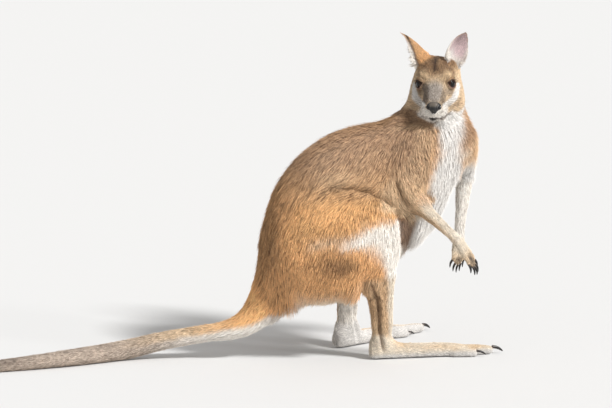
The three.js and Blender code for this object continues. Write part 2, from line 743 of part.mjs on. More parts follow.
// legs
for (const [name, l] of [["right", rightLeg], ["left", leftLeg]]) {
  const group = sideGroups[name].leg;
  const { foot, side, heading } = l;
  const between = (from, to, along, drop) => foot(...from.map((c, k) => mix(c, to[k], k < 2 ? along : drop)));
  const toe = (from, to, big, small) => {
    const middle = mix(big, small, 0.4);
    return new Limb([
      [foot(...from), heading, big, big * 0.86, from[2] + SOLE_SINK],
      [between(from, to, 0.6, 0.4), heading, middle, middle * 0.9, mix(from[2], to[2], 0.4) + SOLE_SINK],
      [foot(...to), heading, small, small * 0.86, to[2] + SOLE_SINK],
    ]);
  };
  const claw = (from, to, thick) =>
    new Limb([
      [foot(...from), heading, thick * 0.9, thick, thick * 0.8],
      [between(from, to, 0.55, 0.3), heading, thick * 0.75, thick * 0.8, thick * 0.7],
      [foot(...to), heading, 0.8, 0.7, 0.7],
    ]);
  const end = FOOT_LENGTH - 8;
  const claws = {
    big: [claw([end + 2, 0, 11], [end + 23, 0, 4], 4.6), "big"],
    outer: [claw([186, 18.2, 9], [202, 20, 3.5], 3.3), "outer"],
    grooming_1: [claw([166, -13.2, 8.5], [179, -12.5, 4], 2.1), "grooming"],
    grooming_2: [claw([166, -18, 8.5], [178, -19, 4], 2.1), "grooming"],
  };
  // each toe is set into the foot and clear of the toe before it
  const toes = {
    big: [toe([160, 0, 11], [end, 0, 9], 10.5, 8), 8, 2],
    outer: [toe([148, 12, 9], [184, 18, 7.5], 7.6, 5.8), 7, 2],
    grooming: [toe([143, -11.5, 9], [165, -15.5, 7.5], 6.4, 5.2), 7, 2],
  };
  const shape = ([limb, sides, rings], grow) => loft(limb, sides, rings, grow);
  const taken = [];
  for (const [toeName, spec] of Object.entries(toes)) {
    let solid = shape(spec, 0).subtract(floor);
    for (const other of taken) solid = solid.subtract(other);
    add(group, `toe_${toeName}_${name}`, solid, FUR.pale);
    taken.push(shape(spec, GAP));
  }
  for (const [clawName, [limb, toeName]] of Object.entries(claws)) {
    const horn = loft(limb, 4, 2).subtract(shape(toes[toeName], GAP)).subtract(floor);
    add(group, `claw_${clawName}_${name}`, horn, HORN, FINISH.horn);
  }
  const footBox = slab(foot(-30, 0, 8), foot(240, 0, 8), 60, 38);
  const soleAxis = new Limb([
    [foot(3, 1, 14), heading, 9, 9, 9],
    [foot(60, 0, 13), heading, 9, 9, 9],
    [foot(165, 0, 11), heading, 9, 9, 9],
  ]);
  const footBody = tube(soleAxis, surface, { sides: 12, rings: 8, limit: 48 });
  part(group, `foot_${name}`, footBody, footBox, FUR.pale, taken);

  const shankAxis = new Limb([
    [foot(l.ankle + 1, 4, 36), heading, 9, 9, 9],
    [foot(l.ankle, 4, 110), heading, 9, 9, 9],
    [foot(l.ankle, 8, 184), heading, 9, 9, 9],
  ]);
  const shankBox = slab(foot(l.ankle, 4, 20), foot(l.ankle, 4, 150), 54, 48);
  const shankBody = tube(shankAxis, surface, { sides: 14, rings: 8, limit: 52 });
  part(group, `shank_${name}`, shankBody, shankBox, side < 0 ? FUR.tan : FUR.white);

  // the thigh is parted from the trunk a little way in from its outer face
  const thighBox = slab([-185, side * 128, 190], [75, side * 126, 190], 62, 95);
  const region = { centre: [-45, side * 84, 195], frame: upright, half: [145, 60, 125], cell: [25, 20, 25] };
  part(group, `thigh_${name}`, skin(region), thighBox, FUR.tan);
}

// tail, in four lengths
const tailEnds = [
  [-160, 5, 98],
  [-266, 22, 43],
  [-403, 44, 16.5],
  [-556, 6, 12],
  [-800, -18, 6],
];
const tailTube = (from, to, rings, sides) => tube(tail, surface, { sides, rings, from, to, limit: 75 });
const tailTip = new Limb(
  [
    [tail.ring(1).at, 180, 6.5, 6.2, 6.5],
    [[-748, -15, 3.4], 180, 5, 4.8, 5],
  ],
  3,
);
const tailBodies = [
  tailTube(0, 0.26, 7, 18),
  tailTube(0.2, 0.48, 7, 12),
  tailTube(0.42, 0.7, 7, 12),
  tailTube(0.64, 1, 7, 10).add(loft(tailTip, 8, 1)),
];
for (let i = 0; i < 4; i++) {
  const [near, end] = [tailEnds[i], tailEnds[i + 1]];
  const start = i ? near.map((c, k) => mix(c, end[k], -0.2)) : near;
  const cutter = slab(start, end, 70, i ? 70 : 62);
  part(tailGroup, `tail_${i + 1}`, tailBodies[i], cutter, FUR.tail);
}

const trunkRegion = { centre: [-20, 0, 250], frame: upright, half: [200, 150, 200], cell: [27, 27, 27] };
part(bodyGroup, "trunk", skin(trunkRegion), null, FUR.tan);

// the origin is the middle of the outline, on the floor
const outline = new THREE.Box3().setFromObject(object);
const origin = outline.getCenter(new THREE.Vector3()).setZ(0);
for (const group of object.children) group.position.sub(origin);

export default object;
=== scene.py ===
"""The looks of a life-size agile wallaby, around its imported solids.

One skin stands for all the solids of flesh. It lies inside them by the depth of the coat, and the coat is
many small solid tufts over it that follow the lie of the hair. Metres, +Z up, in the part's own frame;
places on the body are in millimetres from the floor between the heels, and places on the head in
millimetres ahead of, left of and above the middle of the skull.
"""

import itertools
import math

import bmesh
import bpy
import numpy as np
from mathutils import Matrix, Vector
from mathutils.bvhtree import BVHTree
from mathutils.kdtree import KDTree


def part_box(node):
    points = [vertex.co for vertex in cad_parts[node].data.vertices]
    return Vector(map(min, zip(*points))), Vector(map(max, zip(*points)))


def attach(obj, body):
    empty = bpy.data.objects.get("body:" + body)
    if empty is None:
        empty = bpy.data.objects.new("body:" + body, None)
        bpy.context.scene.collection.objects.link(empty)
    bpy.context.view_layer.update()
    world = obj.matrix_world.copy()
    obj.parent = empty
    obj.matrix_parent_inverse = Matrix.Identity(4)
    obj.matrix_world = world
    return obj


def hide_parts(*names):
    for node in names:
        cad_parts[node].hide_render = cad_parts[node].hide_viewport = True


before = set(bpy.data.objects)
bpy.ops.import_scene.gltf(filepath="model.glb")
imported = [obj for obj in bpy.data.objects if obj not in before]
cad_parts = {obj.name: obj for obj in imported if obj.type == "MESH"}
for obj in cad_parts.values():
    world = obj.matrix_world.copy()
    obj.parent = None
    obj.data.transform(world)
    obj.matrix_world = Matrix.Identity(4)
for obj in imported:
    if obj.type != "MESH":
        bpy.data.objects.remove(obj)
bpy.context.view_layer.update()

# ---- driving values
MM = 0.001
BETWEEN_HEELS = np.array([0.2571, -0.0083, 0.0])
HEAD_HEADING = math.radians(-109)
HEAD_PITCH = math.radians(18)
EYE_PLACE = (67.0, 21.5, 6.0)
VOXEL = 1.7 * MM
CUT_CLOSING = 0.5 * MM
SKIN_TRIANGLES = 112_000  # before the face and the folds are made finer
COAT_TUFTS = 228_000  # the most there may be; spacing the roots leaves about 199,000

FLESH = [n for n in sorted(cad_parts) if not n.startswith(("eye", "claw", "nose"))]

# For each part: smoothing of the skin in rounds, depth of the coat, length and width of a tuft in mm,
# and how thick the tufts stand compared with the trunk.
COAT = dict(
    head=(8, 1.7, 6.5, 0.85, 2.6),
    ear=(5, 0.5, 3.6, 0.6, 2.4),
    neck=(40, 4.5, 17.0, 1.15, 1.2),
    trunk=(80, 5.5, 18.5, 1.2, 1.0),
    thigh=(70, 4.5, 14.5, 1.15, 1.1),
    shank=(24, 2.6, 11.0, 1.0, 1.4),
    foot=(10, 1.3, 6.5, 0.85, 1.9),
    toe=(5, 0.9, 4.0, 0.7, 2.0),
    upper_arm=(40, 4.0, 15.0, 1.15, 1.15),
    forearm=(16, 2.2, 10.0, 0.95, 1.5),
    hand=(4, 0.9, 4.5, 0.7, 2.2),
    tail_1=(30, 3.4, 12.0, 1.1, 1.1),
    tail_2=(24, 2.2, 8.5, 0.9, 1.3),
    tail_3=(20, 1.9, 8.0, 0.85, 1.3),
    tail_4=(12, 1.6, 8.5, 0.85, 1.4),
)


# ---- small helpers
def unit(v):
    """Directions of vectors, as vectors of length 1."""
    return v / np.maximum(np.linalg.norm(v, axis=-1, keepdims=True), 1e-12)


def ramp(x, low, high):
    """0 below low, 1 above high and smooth between; low may be the larger."""
    t = np.clip((x - low) / (high - low), 0, 1)
    return t * t * (3 - 2 * t)


def between(a, b, t):
    """Numbers from a to b by the share t."""
    return a + (b - a) * t


def mix(a, b, t):
    """Colours or places from a to b by the share t at each."""
    return a + (b - a) * np.asarray(t)[..., None]


def layered(color, *layers):
    """A colour under layers of paint, each given as its colour and how much of it shows."""
    for over, share in layers:
        color = mix(color, over, share)
    return color


def bell(x, width):
    """1 at 0, fading on both sides over width."""
    return np.exp(-((x / width) ** 2))


def mirrored(q, sign):
    """Places of both sides brought to the left one (sign 1) or to the right one (sign -1)."""
    return np.stack([q[:, 0], sign * np.abs(q[:, 1]), q[:, 2]], axis=1)


def spot(q, centre, sizes):
    """A soft round weight: 1 at centre, about a third at sizes away and almost 0 at twice that."""
    return np.exp(-(((q - np.array(centre)) / np.array(sizes)) ** 2).sum(-1))


def along(q, points):
    """Distance of each place from a path, and how far along the path, from 0 to 1, it lies."""
    points = np.array(points, float)
    spans = np.linalg.norm(np.diff(points, axis=0), axis=1)
    starts = np.concatenate([[0], np.cumsum(spans)])
    near = np.full(len(q), np.inf)
    share = np.zeros(len(q))
    for a, b, span, start in zip(points, points[1:], spans, starts):
        t = np.clip(((q - a) @ (b - a)) / span**2, 0, 1)
        d = np.linalg.norm(q - a - t[:, None] * (b - a), axis=1)
        share = np.where(d < near, (start + t * span) / starts[-1], share)
        near = np.minimum(d, near)
    return near, share


def grain(points, size, seed=0):
    """Smooth noise from -1 to 1 whose lumps are about size across."""
    q = points / size + 31.7 * seed
    cell = np.floor(q).astype(np.int64)
    f = q - cell
    f = f * f * (3 - 2 * f)
    total = np.zeros(len(q))
    for corner in range(8):
        bits = np.array([corner & 1, corner >> 1 & 1, corner >> 2])
        c = cell + bits
        h = (c[:, 0] * 73856093) ^ (c[:, 1] * 19349663) ^ (c[:, 2] * 83492791) ^ (seed * 2654435)
        h = ((h & 0x7FFFFFFF) * 1103515245 + 12345) & 0x7FFFFFFF
        h = ((h ^ (h >> 13)) * 1274126177) & 0x7FFFFFFF
        weight = np.where(bits, f, 1 - f).prod(1)
        total += weight * (h / 0x3FFFFFFF - 1)
    return total


def paint(code):
    """Linear colour of a hexadecimal one."""
    parts = np.array([int(code[i:i + 2], 16) for i in (0, 2, 4)]) / 255
    return np.where(parts <= 0.04045, parts / 12.92, ((parts + 0.055) / 1.055) ** 2.4)


def read(items, name, width, kind=float):
    """An attribute of every item of a mesh, as rows of that width."""
    values = np.empty(len(items) * width, np.int32 if kind is int else np.float32)
    items.foreach_get(name, values)
    return values.reshape(-1, width).astype(np.int64 if kind is int else float)


def mesh_object(name, places, faces, smooth=True):
    """A mesh object; faces is an array of triangles or a list of polygons."""
    mesh = bpy.data.meshes.new(name)
    if isinstance(faces, np.ndarray):
        corners = faces.astype(np.int32).ravel()
        mesh.vertices.add(len(places))
        mesh.vertices.foreach_set("co", np.asarray(places, np.float32).ravel())
        mesh.loops.add(len(corners))
        mesh.loops.foreach_set("vertex_index", corners)
        mesh.polygons.add(len(faces))
        mesh.polygons.foreach_set("loop_start", np.arange(0, len(corners), faces.shape[1], dtype=np.int32))
        mesh.update(calc_edges=True)
    else:
        mesh.from_pydata([tuple(p) for p in places], [], faces)

    mesh.polygons.foreach_set("use_smooth", np.full(len(mesh.polygons), smooth))
    thing = bpy.data.objects.new(name, mesh)
    bpy.context.scene.collection.objects.link(thing)
    return thing


def arrays(thing):
    """Corners and triangles of an object, with its modifiers."""
    seen = thing.evaluated_get(bpy.context.evaluated_depsgraph_get())
    mesh = seen.to_mesh()
    mesh.calc_loop_triangles()
    result = read(mesh.vertices, "co", 3), read(mesh.loop_triangles, "vertices", 3, int)
    seen.to_mesh_clear()
    return result


def remove(thing):
    """Takes a helper object and its mesh out of the scene."""
    mesh = thing.data
    bpy.data.objects.remove(thing)
    bpy.data.meshes.remove(mesh)


def tint(thing, colors):
    """Gives each corner of a piece its colour, as the attribute that its material reads."""
    layer = thing.data.color_attributes.new("coat", "FLOAT_COLOR", "POINT")
    full = np.ones((len(colors), 4), np.float32)
    full[:, :3] = np.clip(colors, 0, 1)
    layer.data.foreach_set("color", full.ravel())


# ---- the head's frame
def middle(node):
    """Centre of a solid's box."""
    low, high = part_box(node)
    return (np.array(low) + np.array(high)) / 2


FORWARD = np.array([
    math.cos(HEAD_HEADING) * math.cos(HEAD_PITCH),
    math.sin(HEAD_HEADING) * math.cos(HEAD_PITCH),
    -math.sin(HEAD_PITCH),
])
LEFT = np.array([-math.sin(HEAD_HEADING), math.cos(HEAD_HEADING), 0.0])
UP = np.cross(FORWARD, LEFT)
HEAD_AXES = np.stack([FORWARD, LEFT, UP])
SKULL = (middle("eye_right") + middle("eye_left")) / 2 - EYE_PLACE[0] * MM * FORWARD - EYE_PLACE[2] * MM * UP


def on_head(p):
    """Places in the head's frame, in millimetres."""
    return (p - SKULL) @ HEAD_AXES.T / MM


def from_head(h):
    """Places in the scene of those in the head's frame."""
    return SKULL + np.asarray(h, float) @ HEAD_AXES * MM


def on_body(p):
    """Places from the floor between the heels, in millimetres."""
    return (p - BETWEEN_HEELS) / MM


# ---- the solids of flesh
def solid(name):
    """Welded corners and triangles of a solid."""
    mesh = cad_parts[name].data
    mesh.calc_loop_triangles()
    places = read(mesh.vertices, "co", 3)
    triangles = read(mesh.loop_triangles, "vertices", 3, int)
    _, first, same = np.unique(np.round(places / 1e-6), axis=0, return_index=True, return_inverse=True)
    triangles = same.ravel()[triangles]
    real = (triangles[:, 0] != triangles[:, 1]) & (triangles[:, 1] != triangles[:, 2])
    real &= triangles[:, 0] != triangles[:, 2]
    return places[first], triangles[real]


def kind_of(node):
    """The row of the coat's table that a node takes."""
    return next(kind for kind in sorted(COAT, key=len, reverse=True) if node.startswith(kind))


class Surface:
    """A triangle mesh held as arrays."""

    def __init__(self, places, triangles):
        self.places = places
        self.triangles = triangles
        pairs = np.concatenate([triangles[:, [0, 1]], triangles[:, [1, 2]], triangles[:, [2, 0]]])
        pairs.sort(axis=1)
        keys = np.unique(pairs[:, 0] * len(places) + pairs[:, 1])
        self.edges = np.stack([keys // len(places), keys % len(places)], axis=1)
        self.valence = np.bincount(self.edges.ravel(), minlength=len(places))[:, None]

    def mean(self, values):
        """Average of each corner's neighbours."""
        a, b = self.edges.T
        n = len(self.places)
        total = [np.bincount(a, v[b], n) + np.bincount(b, v[a], n) for v in values.T]
        return np.stack(total, axis=1) / np.maximum(self.valence, 1)

    def smoothed(self, values, rounds):
        """Values at the corners, averaged with their neighbours so many times."""
        flat = values if values.ndim > 1 else values[:, None]
        for _ in range(rounds):
            flat = 0.5 * flat + 0.5 * self.mean(flat)
        return flat if values.ndim > 1 else flat[:, 0]

    def normals(self):
        """Unit normals at the corners."""
        a, b, c = (self.places[self.triangles[:, k]] for k in range(3))
        cross = np.cross(b - a, c - a)
        n = len(self.places)
        total = [
            sum(np.bincount(self.triangles[:, k], cross[:, axis], n) for k in range(3))
            for axis in range(3)
        ]
        return unit(np.stack(total, axis=1))

    def kept(self, corners):
        """The surface without the corners that are not in the mask."""
        index = np.cumsum(corners) - 1
        whole = corners[self.triangles].all(axis=1)
        return Surface(self.places[corners], index[self.triangles[whole]])


def largest(surface):
    """The surface's largest connected piece."""
    label = np.arange(len(surface.places))
    a, b = surface.edges.T
    while True:
        low = np.minimum(label[a], label[b])
        fresh = label.copy()
        np.minimum.at(fresh, a, low)
        np.minimum.at(fresh, b, low)
        fresh = fresh[fresh]
        if (fresh == label).all():
            break
        label = fresh
    names, counts = np.unique(label, return_counts=True)
    return surface.kept(label == names[counts.argmax()])


def together(meshes):
    """Corners and triangles of several meshes as those of one."""
    starts = np.cumsum([0] + [len(co) for co, _ in meshes])
    triangles = [tri + start for (_, tri), start in zip(meshes, starts)]
    return np.concatenate([co for co, _ in meshes]), np.concatenate(triangles)


def joined_flesh():
    """All flesh and the eyes as one mesh, each solid grown a little so that the cuts between them close."""
    grown = []
    for node in [*FLESH, "eye_right", "eye_left"]:
        co, tri = solid(node)
        grown.append((co + Surface(co, tri).normals() * CUT_CLOSING, tri))
    return together(grown)


def flesh_tree():
    """A search tree over the solids of flesh, and which node each of its triangles belongs to."""
    solids = [solid(node) for node in FLESH]
    owners = np.repeat(np.arange(len(FLESH)), [len(tri) for _, tri in solids])
    places, triangles = together(solids)
    return BVHTree.FromPolygons(places.tolist(), triangles.tolist()), owners


def owners_of(places, tree, owners):
    """Which flesh node each place is nearest to."""
    return owners[[tree.find_nearest(p)[2] for p in places.tolist()]]


def table_value(owner, column):
    """One column of the coat's table at each corner."""
    return np.array([COAT[kind_of(node)][column] for node in FLESH], float)[owner]


# ---- the skin's shape
def raw_skin(tree, owners):
    """One closed surface around all the flesh, smooth, and finer on the head, hands and feet."""
    lump = mesh_object("lump", *joined_flesh())
    remesh = lump.modifiers.new("remesh", "REMESH")
    remesh.mode = "VOXEL"
    remesh.voxel_size = VOXEL
    surface = largest(Surface(*arrays(lump)))
    remove(lump)
    owner = owners_of(surface.places, tree, owners)
    rounds = surface.smoothed(table_value(owner, 0), 12)
    places = surface.places
    for k in range(int(rounds.max())):
        moving = np.clip(rounds - k, 0, 1)[:, None]
        places = places + moving * (surface.mean(places) - places)
    rough = mesh_object("rough", places, surface.triangles)
    fine = np.isin(owner, [k for k, n in enumerate(FLESH) if n.startswith(("head", "ear", "hand", "toe"))])
    guard = rough.vertex_groups.new(name="guard")
    fine = surface.smoothed(fine.astype(float), 6)
    for level in range(1, 5):
        chosen = np.nonzero(np.round(fine * 4) == level)[0]
        guard.add(chosen.tolist(), level / 4, "REPLACE")
    thin = rough.modifiers.new("thin", "DECIMATE")
    thin.ratio = min(1.0, SKIN_TRIANGLES / len(surface.triangles))
    thin.vertex_group = "guard"
    thin.invert_vertex_group = True
    result = arrays(rough)
    remove(rough)
    return Surface(*result)


def refined(surface, chosen):
    """The surface with each edge between chosen corners halved."""
    thing = mesh_object("finer", surface.places, surface.triangles)
    form = bmesh.new()
    form.from_mesh(thing.data)
    form.verts.ensure_lookup_table()
    edges = [e for e in form.edges if chosen[e.verts[0].index] and chosen[e.verts[1].index]]
    bmesh.ops.subdivide_edges(form, edges=edges, cuts=1, use_grid_fill=True)
    bmesh.ops.triangulate(form, faces=form.faces)
    form.to_mesh(thing.data)
    form.free()
    result = arrays(thing)
    remove(thing)
    return Surface(*result)


# ---- eyes, lids and mouth
EYE_BALL = 11.3  # radius in mm
EYE_AXES = {1: (0.66, 0.72, 0.26), -1: (0.66, -0.72, 0.08)}  # the way the left and the right eye face
EYE_CORNER = np.array([1.0, 0, 0.5])  # towards the inner corner
LID_HALF_WIDTH = math.radians(51)
LID_RISE = math.radians(33)
LID_DROP = math.radians(28)
LID_THICKNESS = 1.3
MOUTH = [(136, 0, -26.5), (134, 8, -27), (125, 15, -29.5), (113, 19.5, -32), (101, 25, -33), (89, 30, -34)]


def eye_frame(side):
    """Centre in the head's frame in mm, and the axis, forward and upward directions of an eye."""
    axis = unit(np.array(EYE_AXES[side]))
    ahead = unit(EYE_CORNER - axis * (axis @ EYE_CORNER))
    above = np.cross(axis, ahead) * -side
    centre = np.array([EYE_PLACE[0], side * EYE_PLACE[1], EYE_PLACE[2]])
    return centre, axis, ahead, above


def lid_taper(across):
    """How much the lids' opening narrows from its middle to its corners."""
    share = np.clip(np.abs(across) / LID_HALF_WIDTH, 0, 1)
    return np.sqrt(np.clip(1 - 0.72 * share**2.2, 0.05, 1))


def lid_angles(h, side):
    """How far out of the lids' opening each place is (1 on their edge), its rise, and its radius."""
    centre, axis, ahead, above = eye_frame(side)
    d = h - centre
    out = d @ axis
    across = np.arctan2(d @ ahead, out)
    rise = np.arctan2(d @ above, out)
    limit = np.where(rise > 0, LID_RISE, LID_DROP) * lid_taper(across)
    open_share = np.hypot(across / LID_HALF_WIDTH, rise / limit)
    radius = np.linalg.norm(d, axis=1)
    return np.where((out > 0) & (radius < 2.4 * EYE_BALL), open_share, 9), rise, radius


def shape_lids(h):
    """Skin around each eye: lids that lie on the ball, a crease over the upper one, and their opening."""
    lid = EYE_BALL + LID_THICKNESS
    sunk = EYE_BALL - 2.2
    for side in (1, -1):
        centre = eye_frame(side)[0]
        share, rise, radius = lid_angles(h, side)
        edge = between(sunk, lid, ramp(share, 0.93, 1.04))
        crease = -0.9 * bell(share - 1.75, 0.16) * ramp(rise, 0.1, 0.5)
        under = -0.5 * bell(share - 1.6, 0.2) * ramp(-rise, 0.1, 0.5)
        covered = np.maximum(radius, lid) + crease + under
        target = np.where(share < 1.04, edge, between(lid, covered, ramp(share, 1.04, 1.5)))
        d = (h - centre) / np.maximum(radius, 1e-6)[:, None]
        h = np.where((share < 3.2)[:, None], centre + d * target[:, None], h)
    return h


def groove(q, path, depth, width):
    """A crease between low lips along a path: how far it moves each place along its normal."""
    d, t = along(q, path)
    fade = ramp(t, -0.02, 0.2) * ramp(t, 1.02, 0.85)
    lips = 0.3 * depth * bell(d - 2 * width, width)
    return fade * (-depth * bell(d, width) + lips)


FACE_FORMS = (  # height in mm, place and sizes, alike on both sides
    (1.3, (126, 9, -22), (8, 8, 5)),
    (0.9, (112, 17, -22), (12, 6, 6)),
    (-4.0, (139, 0, -12), (6, 9, 7)),
    (-1.2, (112, 12, -4), (10, 4, 5)),
    (-1.3, (84, 21, -6), (12, 5, 8)),
    (1.4, (62, 24, 19), (12, 8, 5)),
    (1.0, (70, 33, -8), (16, 6, 5)),
)


def shape_face(h):
    """Lips, mouth, bed of the nose, brows and cheeks: moves in mm along the head's normals."""
    m = mirrored(h, 1)
    f, a, u = m.T
    d, t = along(m, MOUTH)
    move = -1.5 * bell(d, 1.15) * ramp(t, 1.05, 0.8)
    move -= bell(a, 1.3) * ramp(f, 124, 129) * ramp(u, -19, -22) * ramp(u, -31, -28)
    for height, place, sizes in FACE_FORMS:
        move += height * spot(m, place, sizes)
    return move


# ---- folds of the body
FURROW_DEPTH = 1.6  # between the fingers, in mm
FAR_SIDE_SHIFT = -12  # the left leg and flank stand this far behind the right ones, in mm
FLANK_CREASE = [
    (-65, -86, 302), (-47, -92, 299), (-28, -94, 296), (-4, -96, 291), (19, -95, 278), (35, -99, 264),
]
THIGH_FRONT = [(36, -100, 264), (43, -104, 246), (47, -104, 226), (50, -99, 204), (51, -92, 186)]
SHANK_GROOVE = [
    (-4, -92, 140), (3, -90, 124), (12, -80, 107), (16, -73, 78), (18, -68, 53), (22, -66, 30), (26, -64, 8),
]
THIGH_HOLLOW = [(-121, -86, 223), (-97, -97, 224), (-72, -106, 226), (-45, -112, 228)]
THIGH_SMUDGE = [(-94, -100, 176), (-68, -109, 182), (-44, -113, 181)]
ELBOW_FOLD = [(38, -98, 312), (40, -100, 296), (46, -106, 284), (58, -106, 266)]
FOLDS = (  # path, depth and width in mm
    (FLANK_CREASE, 6.0, 5.0),
    (THIGH_FRONT, 7.0, 6.0),
    (SHANK_GROOVE, 4.5, 3.2),
    (THIGH_HOLLOW, 2.2, 9.0),
    (THIGH_SMUDGE, 2.0, 9.0),
    (ELBOW_FOLD, 4.5, 4.5),
)


def other_side(path):
    """A path's like on the other side of the body."""
    return [(x + FAR_SIDE_SHIFT, -y, z) for x, y, z in path]


def sideways(q):
    """Places flattened towards the middle plane, so that distances count little in depth."""
    return np.array(q) * (1, 0.3, 1)


def shape_body(q):
    """Creases at the flank, thigh, shank and elbow: moves in mm along the normals."""
    move = np.zeros(len(q))
    for path, depth, width in FOLDS:
        move += groove(sideways(q), sideways(path), depth, width)
        if path is not ELBOW_FOLD:  # the left arm hangs clear of the body
            move += groove(sideways(q), sideways(other_side(path)), depth, width)
    return move


def near_path(q, path, width):
    """1 on a path on the body's side, fading over width."""
    return bell(along(sideways(q), sideways(path))[0], width)


def near_fold(q, path, width):
    """1 in a fold of either side of the body, fading over width."""
    return np.maximum(near_path(q, path, width), near_path(q, other_side(path), width))


# ---- the lie of the coat
TRUNK_PATH = [
    (120, -40, 370), (100, -36, 332), (55, -14, 309), (-8, -3, 295),
    (-70, 0, 255), (-112, 0, 185), (-150, 3, 125),
]
TAIL_PATH = [
    (-148, 5, 108), (-202, 4, 57), (-266, 22, 43), (-330, 38, 31), (-403, 44, 17),
    (-482, 20, 15), (-556, 6, 12), (-629, -2, 9), (-700, -9, 7), (-742, -14, 4),
]


def path_direction(q, path):
    """Direction of the nearest stretch of a path, at each place."""
    path = np.array(path, float)
    middles = (path[1:] + path[:-1]) / 2
    directions = unit(path[1:] - path[:-1])
    weight = np.exp(-np.linalg.norm(q[:, None] - middles[None], axis=2) / 30)
    return unit(weight @ directions)


def part_direction(start, end):
    """The way from one solid to another."""
    return unit(middle(end) - middle(start))


def lie_on(node, q, h, n):
    """The way the hair lies on one part, before it is laid along the skin."""
    kind = kind_of(node)
    side = node.rsplit("_", 1)[-1]
    if kind == "head":
        return unit(h - np.array([140, 0, -16])) @ HEAD_AXES
    if kind == "ear":
        up, front = ear_axes(side)
        return (up + front * 2.5 * ear_fringe(h, n @ HEAD_AXES.T, side)[:, None]) @ HEAD_AXES
    if kind == "trunk":
        lie = path_direction(q, TRUNK_PATH) * 0.6 + np.array([0, 0, -1.0])
        return mix(lie, np.array([-1.0, 0, -0.25]), ramp(along(q, FLANK_CREASE)[0], 42, 16))
    if kind.startswith("tail"):
        return path_direction(q, TAIL_PATH) + np.array([0, 0, -0.12])
    if kind == "thigh":
        return np.stack([-0.3 * ramp(q[:, 0], 30, -60), np.zeros(len(q)), -np.ones(len(q))], axis=1)
    if kind in ("foot", "toe"):
        ahead = part_direction(f"foot_{side}", f"toe_big_{side}") * (1, 1, 0)
        return np.tile(unit(ahead) + np.array([0, 0, -0.25]), (len(q), 1))
    if kind in ("neck", "shank"):
        return np.tile((-0.45, 0.1, -0.9) if kind == "neck" else (-0.05, 0, -1.0), (len(q), 1))
    start, end = ("upper_arm", "forearm") if kind == "upper_arm" else ("forearm", "hand")
    return np.tile(part_direction(f"{start}_{side}", f"{end}_{side}"), (len(q), 1))


def on_each_node(rule, places, owner, normals):
    """What rule(node, places on the body, places on the head, normals) gives at the corners of each node."""
    q, h = on_body(places), on_head(places)
    result = np.zeros_like(places)
    for k, node in enumerate(FLESH):
        chosen = owner == k
        if chosen.any():
            result[chosen] = rule(node, q[chosen], h[chosen], normals[chosen])
    return result


def lie_of_coat(surface, owner, normals):
    """Unit directions along the skin in which the hair lies, smooth from part to part."""
    lie = on_each_node(lie_on, surface.places, owner, normals)
    for rounds in (6, 12, 12, 12):
        lie = unit(lie - normals * (lie * normals).sum(1)[:, None])
        lie = surface.smoothed(lie, rounds)
    return unit(lie - normals * (lie * normals).sum(1)[:, None])


# ---- ears
EARS = {  # root and tip in the head's frame, and the way the cup opens
    "right": np.array([(9, -13, 17), (-8, -65, 64), (0.15, -1, -0.4)]),
    "left": np.array([(12, 22, 11), (-12, 50, 65), (1, 0.3, 0)]),
}


def ear_place(h, normals, side):
    """Where places lie on an ear: whether inside its cup, how far up, how far across, in from its rim."""
    root, tip, _ = EARS[side]
    up, front = ear_axes(side)
    d = h - root
    height = (d @ up) / np.linalg.norm(tip - root)
    axis = root + np.clip(height, 0, 1)[:, None] * (tip - root) + front * 9
    inner = ((axis - h) * normals).sum(1) > 0
    reach = d @ front
    steps = np.linspace(0, 1, 13)
    band = np.clip(np.digitize(height, steps) - 1, 0, 11)
    rim = [np.percentile(reach[band == k], 98) if (band == k).any() else 0 for k in range(12)]
    return inner, height, d @ np.cross(up, front), np.interp(height, steps[:-1] + 1 / 24, rim) - reach


def ear_fringe(h, normals, side):
    """Above 0 where long white hairs stand off the lower half of an ear's rim."""
    _, height, _, edge = ear_place(h, normals, side)
    most = 1.0 if side == "right" else 0.35
    return most * ramp(edge, 5.5, 2.5) * ramp(height, 0.66, 0.45) * ramp(height, 0.02, 0.12)


def ear_axes(side):
    """The ear's upward direction and the way its cup opens, in the head's frame."""
    root, tip, opening = EARS[side]
    up = unit(tip - root)
    return up, unit(opening - up * (opening @ up))


# ---- markings
TAN = paint("c69d73")
BACK = paint("ac8a6b")
RUMP = paint("d8a673")
ORANGE = paint("d8a873")
UMBER = paint("7d5b3f")
BROWN = paint("94704c")
STREAK = paint("5c3f2a")
BUFF = paint("d2b691")
GREY = paint("aca196")
DUSK = paint("62564c")
CREAM = paint("e0d3c0")
WHITE = paint("dcd8d3")
KNEE = paint("ece5dc")
SANDY = paint("d8bd9b")
SMOKE = paint("b5a596")
TAIL_TIP = paint("4d4038")
SNOUT = paint("94826e")
PINK = paint("dcc3c4")
MAUVE = paint("a08a8a")
LID = paint("59403a")
LID_PINK = paint("a57e74")
PAW = paint("9a7f66")
PAD = paint("3a2f2a")

HIP_STRIPE = [
    (-104, -96, 210), (-78, -104, 217), (-54, -111, 223), (-29, -114, 229), (-4, -114, 232), (20, -112, 232),
]
CHEEK_STRIPE = [
    (58, 37, -3), (63, 36, -5), (73, 34, -10), (82, 30, -16), (94, 24, -18), (110, 21, -14), (124, 18, -11),
]
SNOUT_SIDE = [(80, 25, -4), (90, 20, 0), (99, 17, 1), (112, 15, -2), (120, 14, -5)]
TEAR_LINE = [(84, 18, 7), (95, 15, 6), (106, 16, 1), (116, 16, -4), (120, 19, -11)]


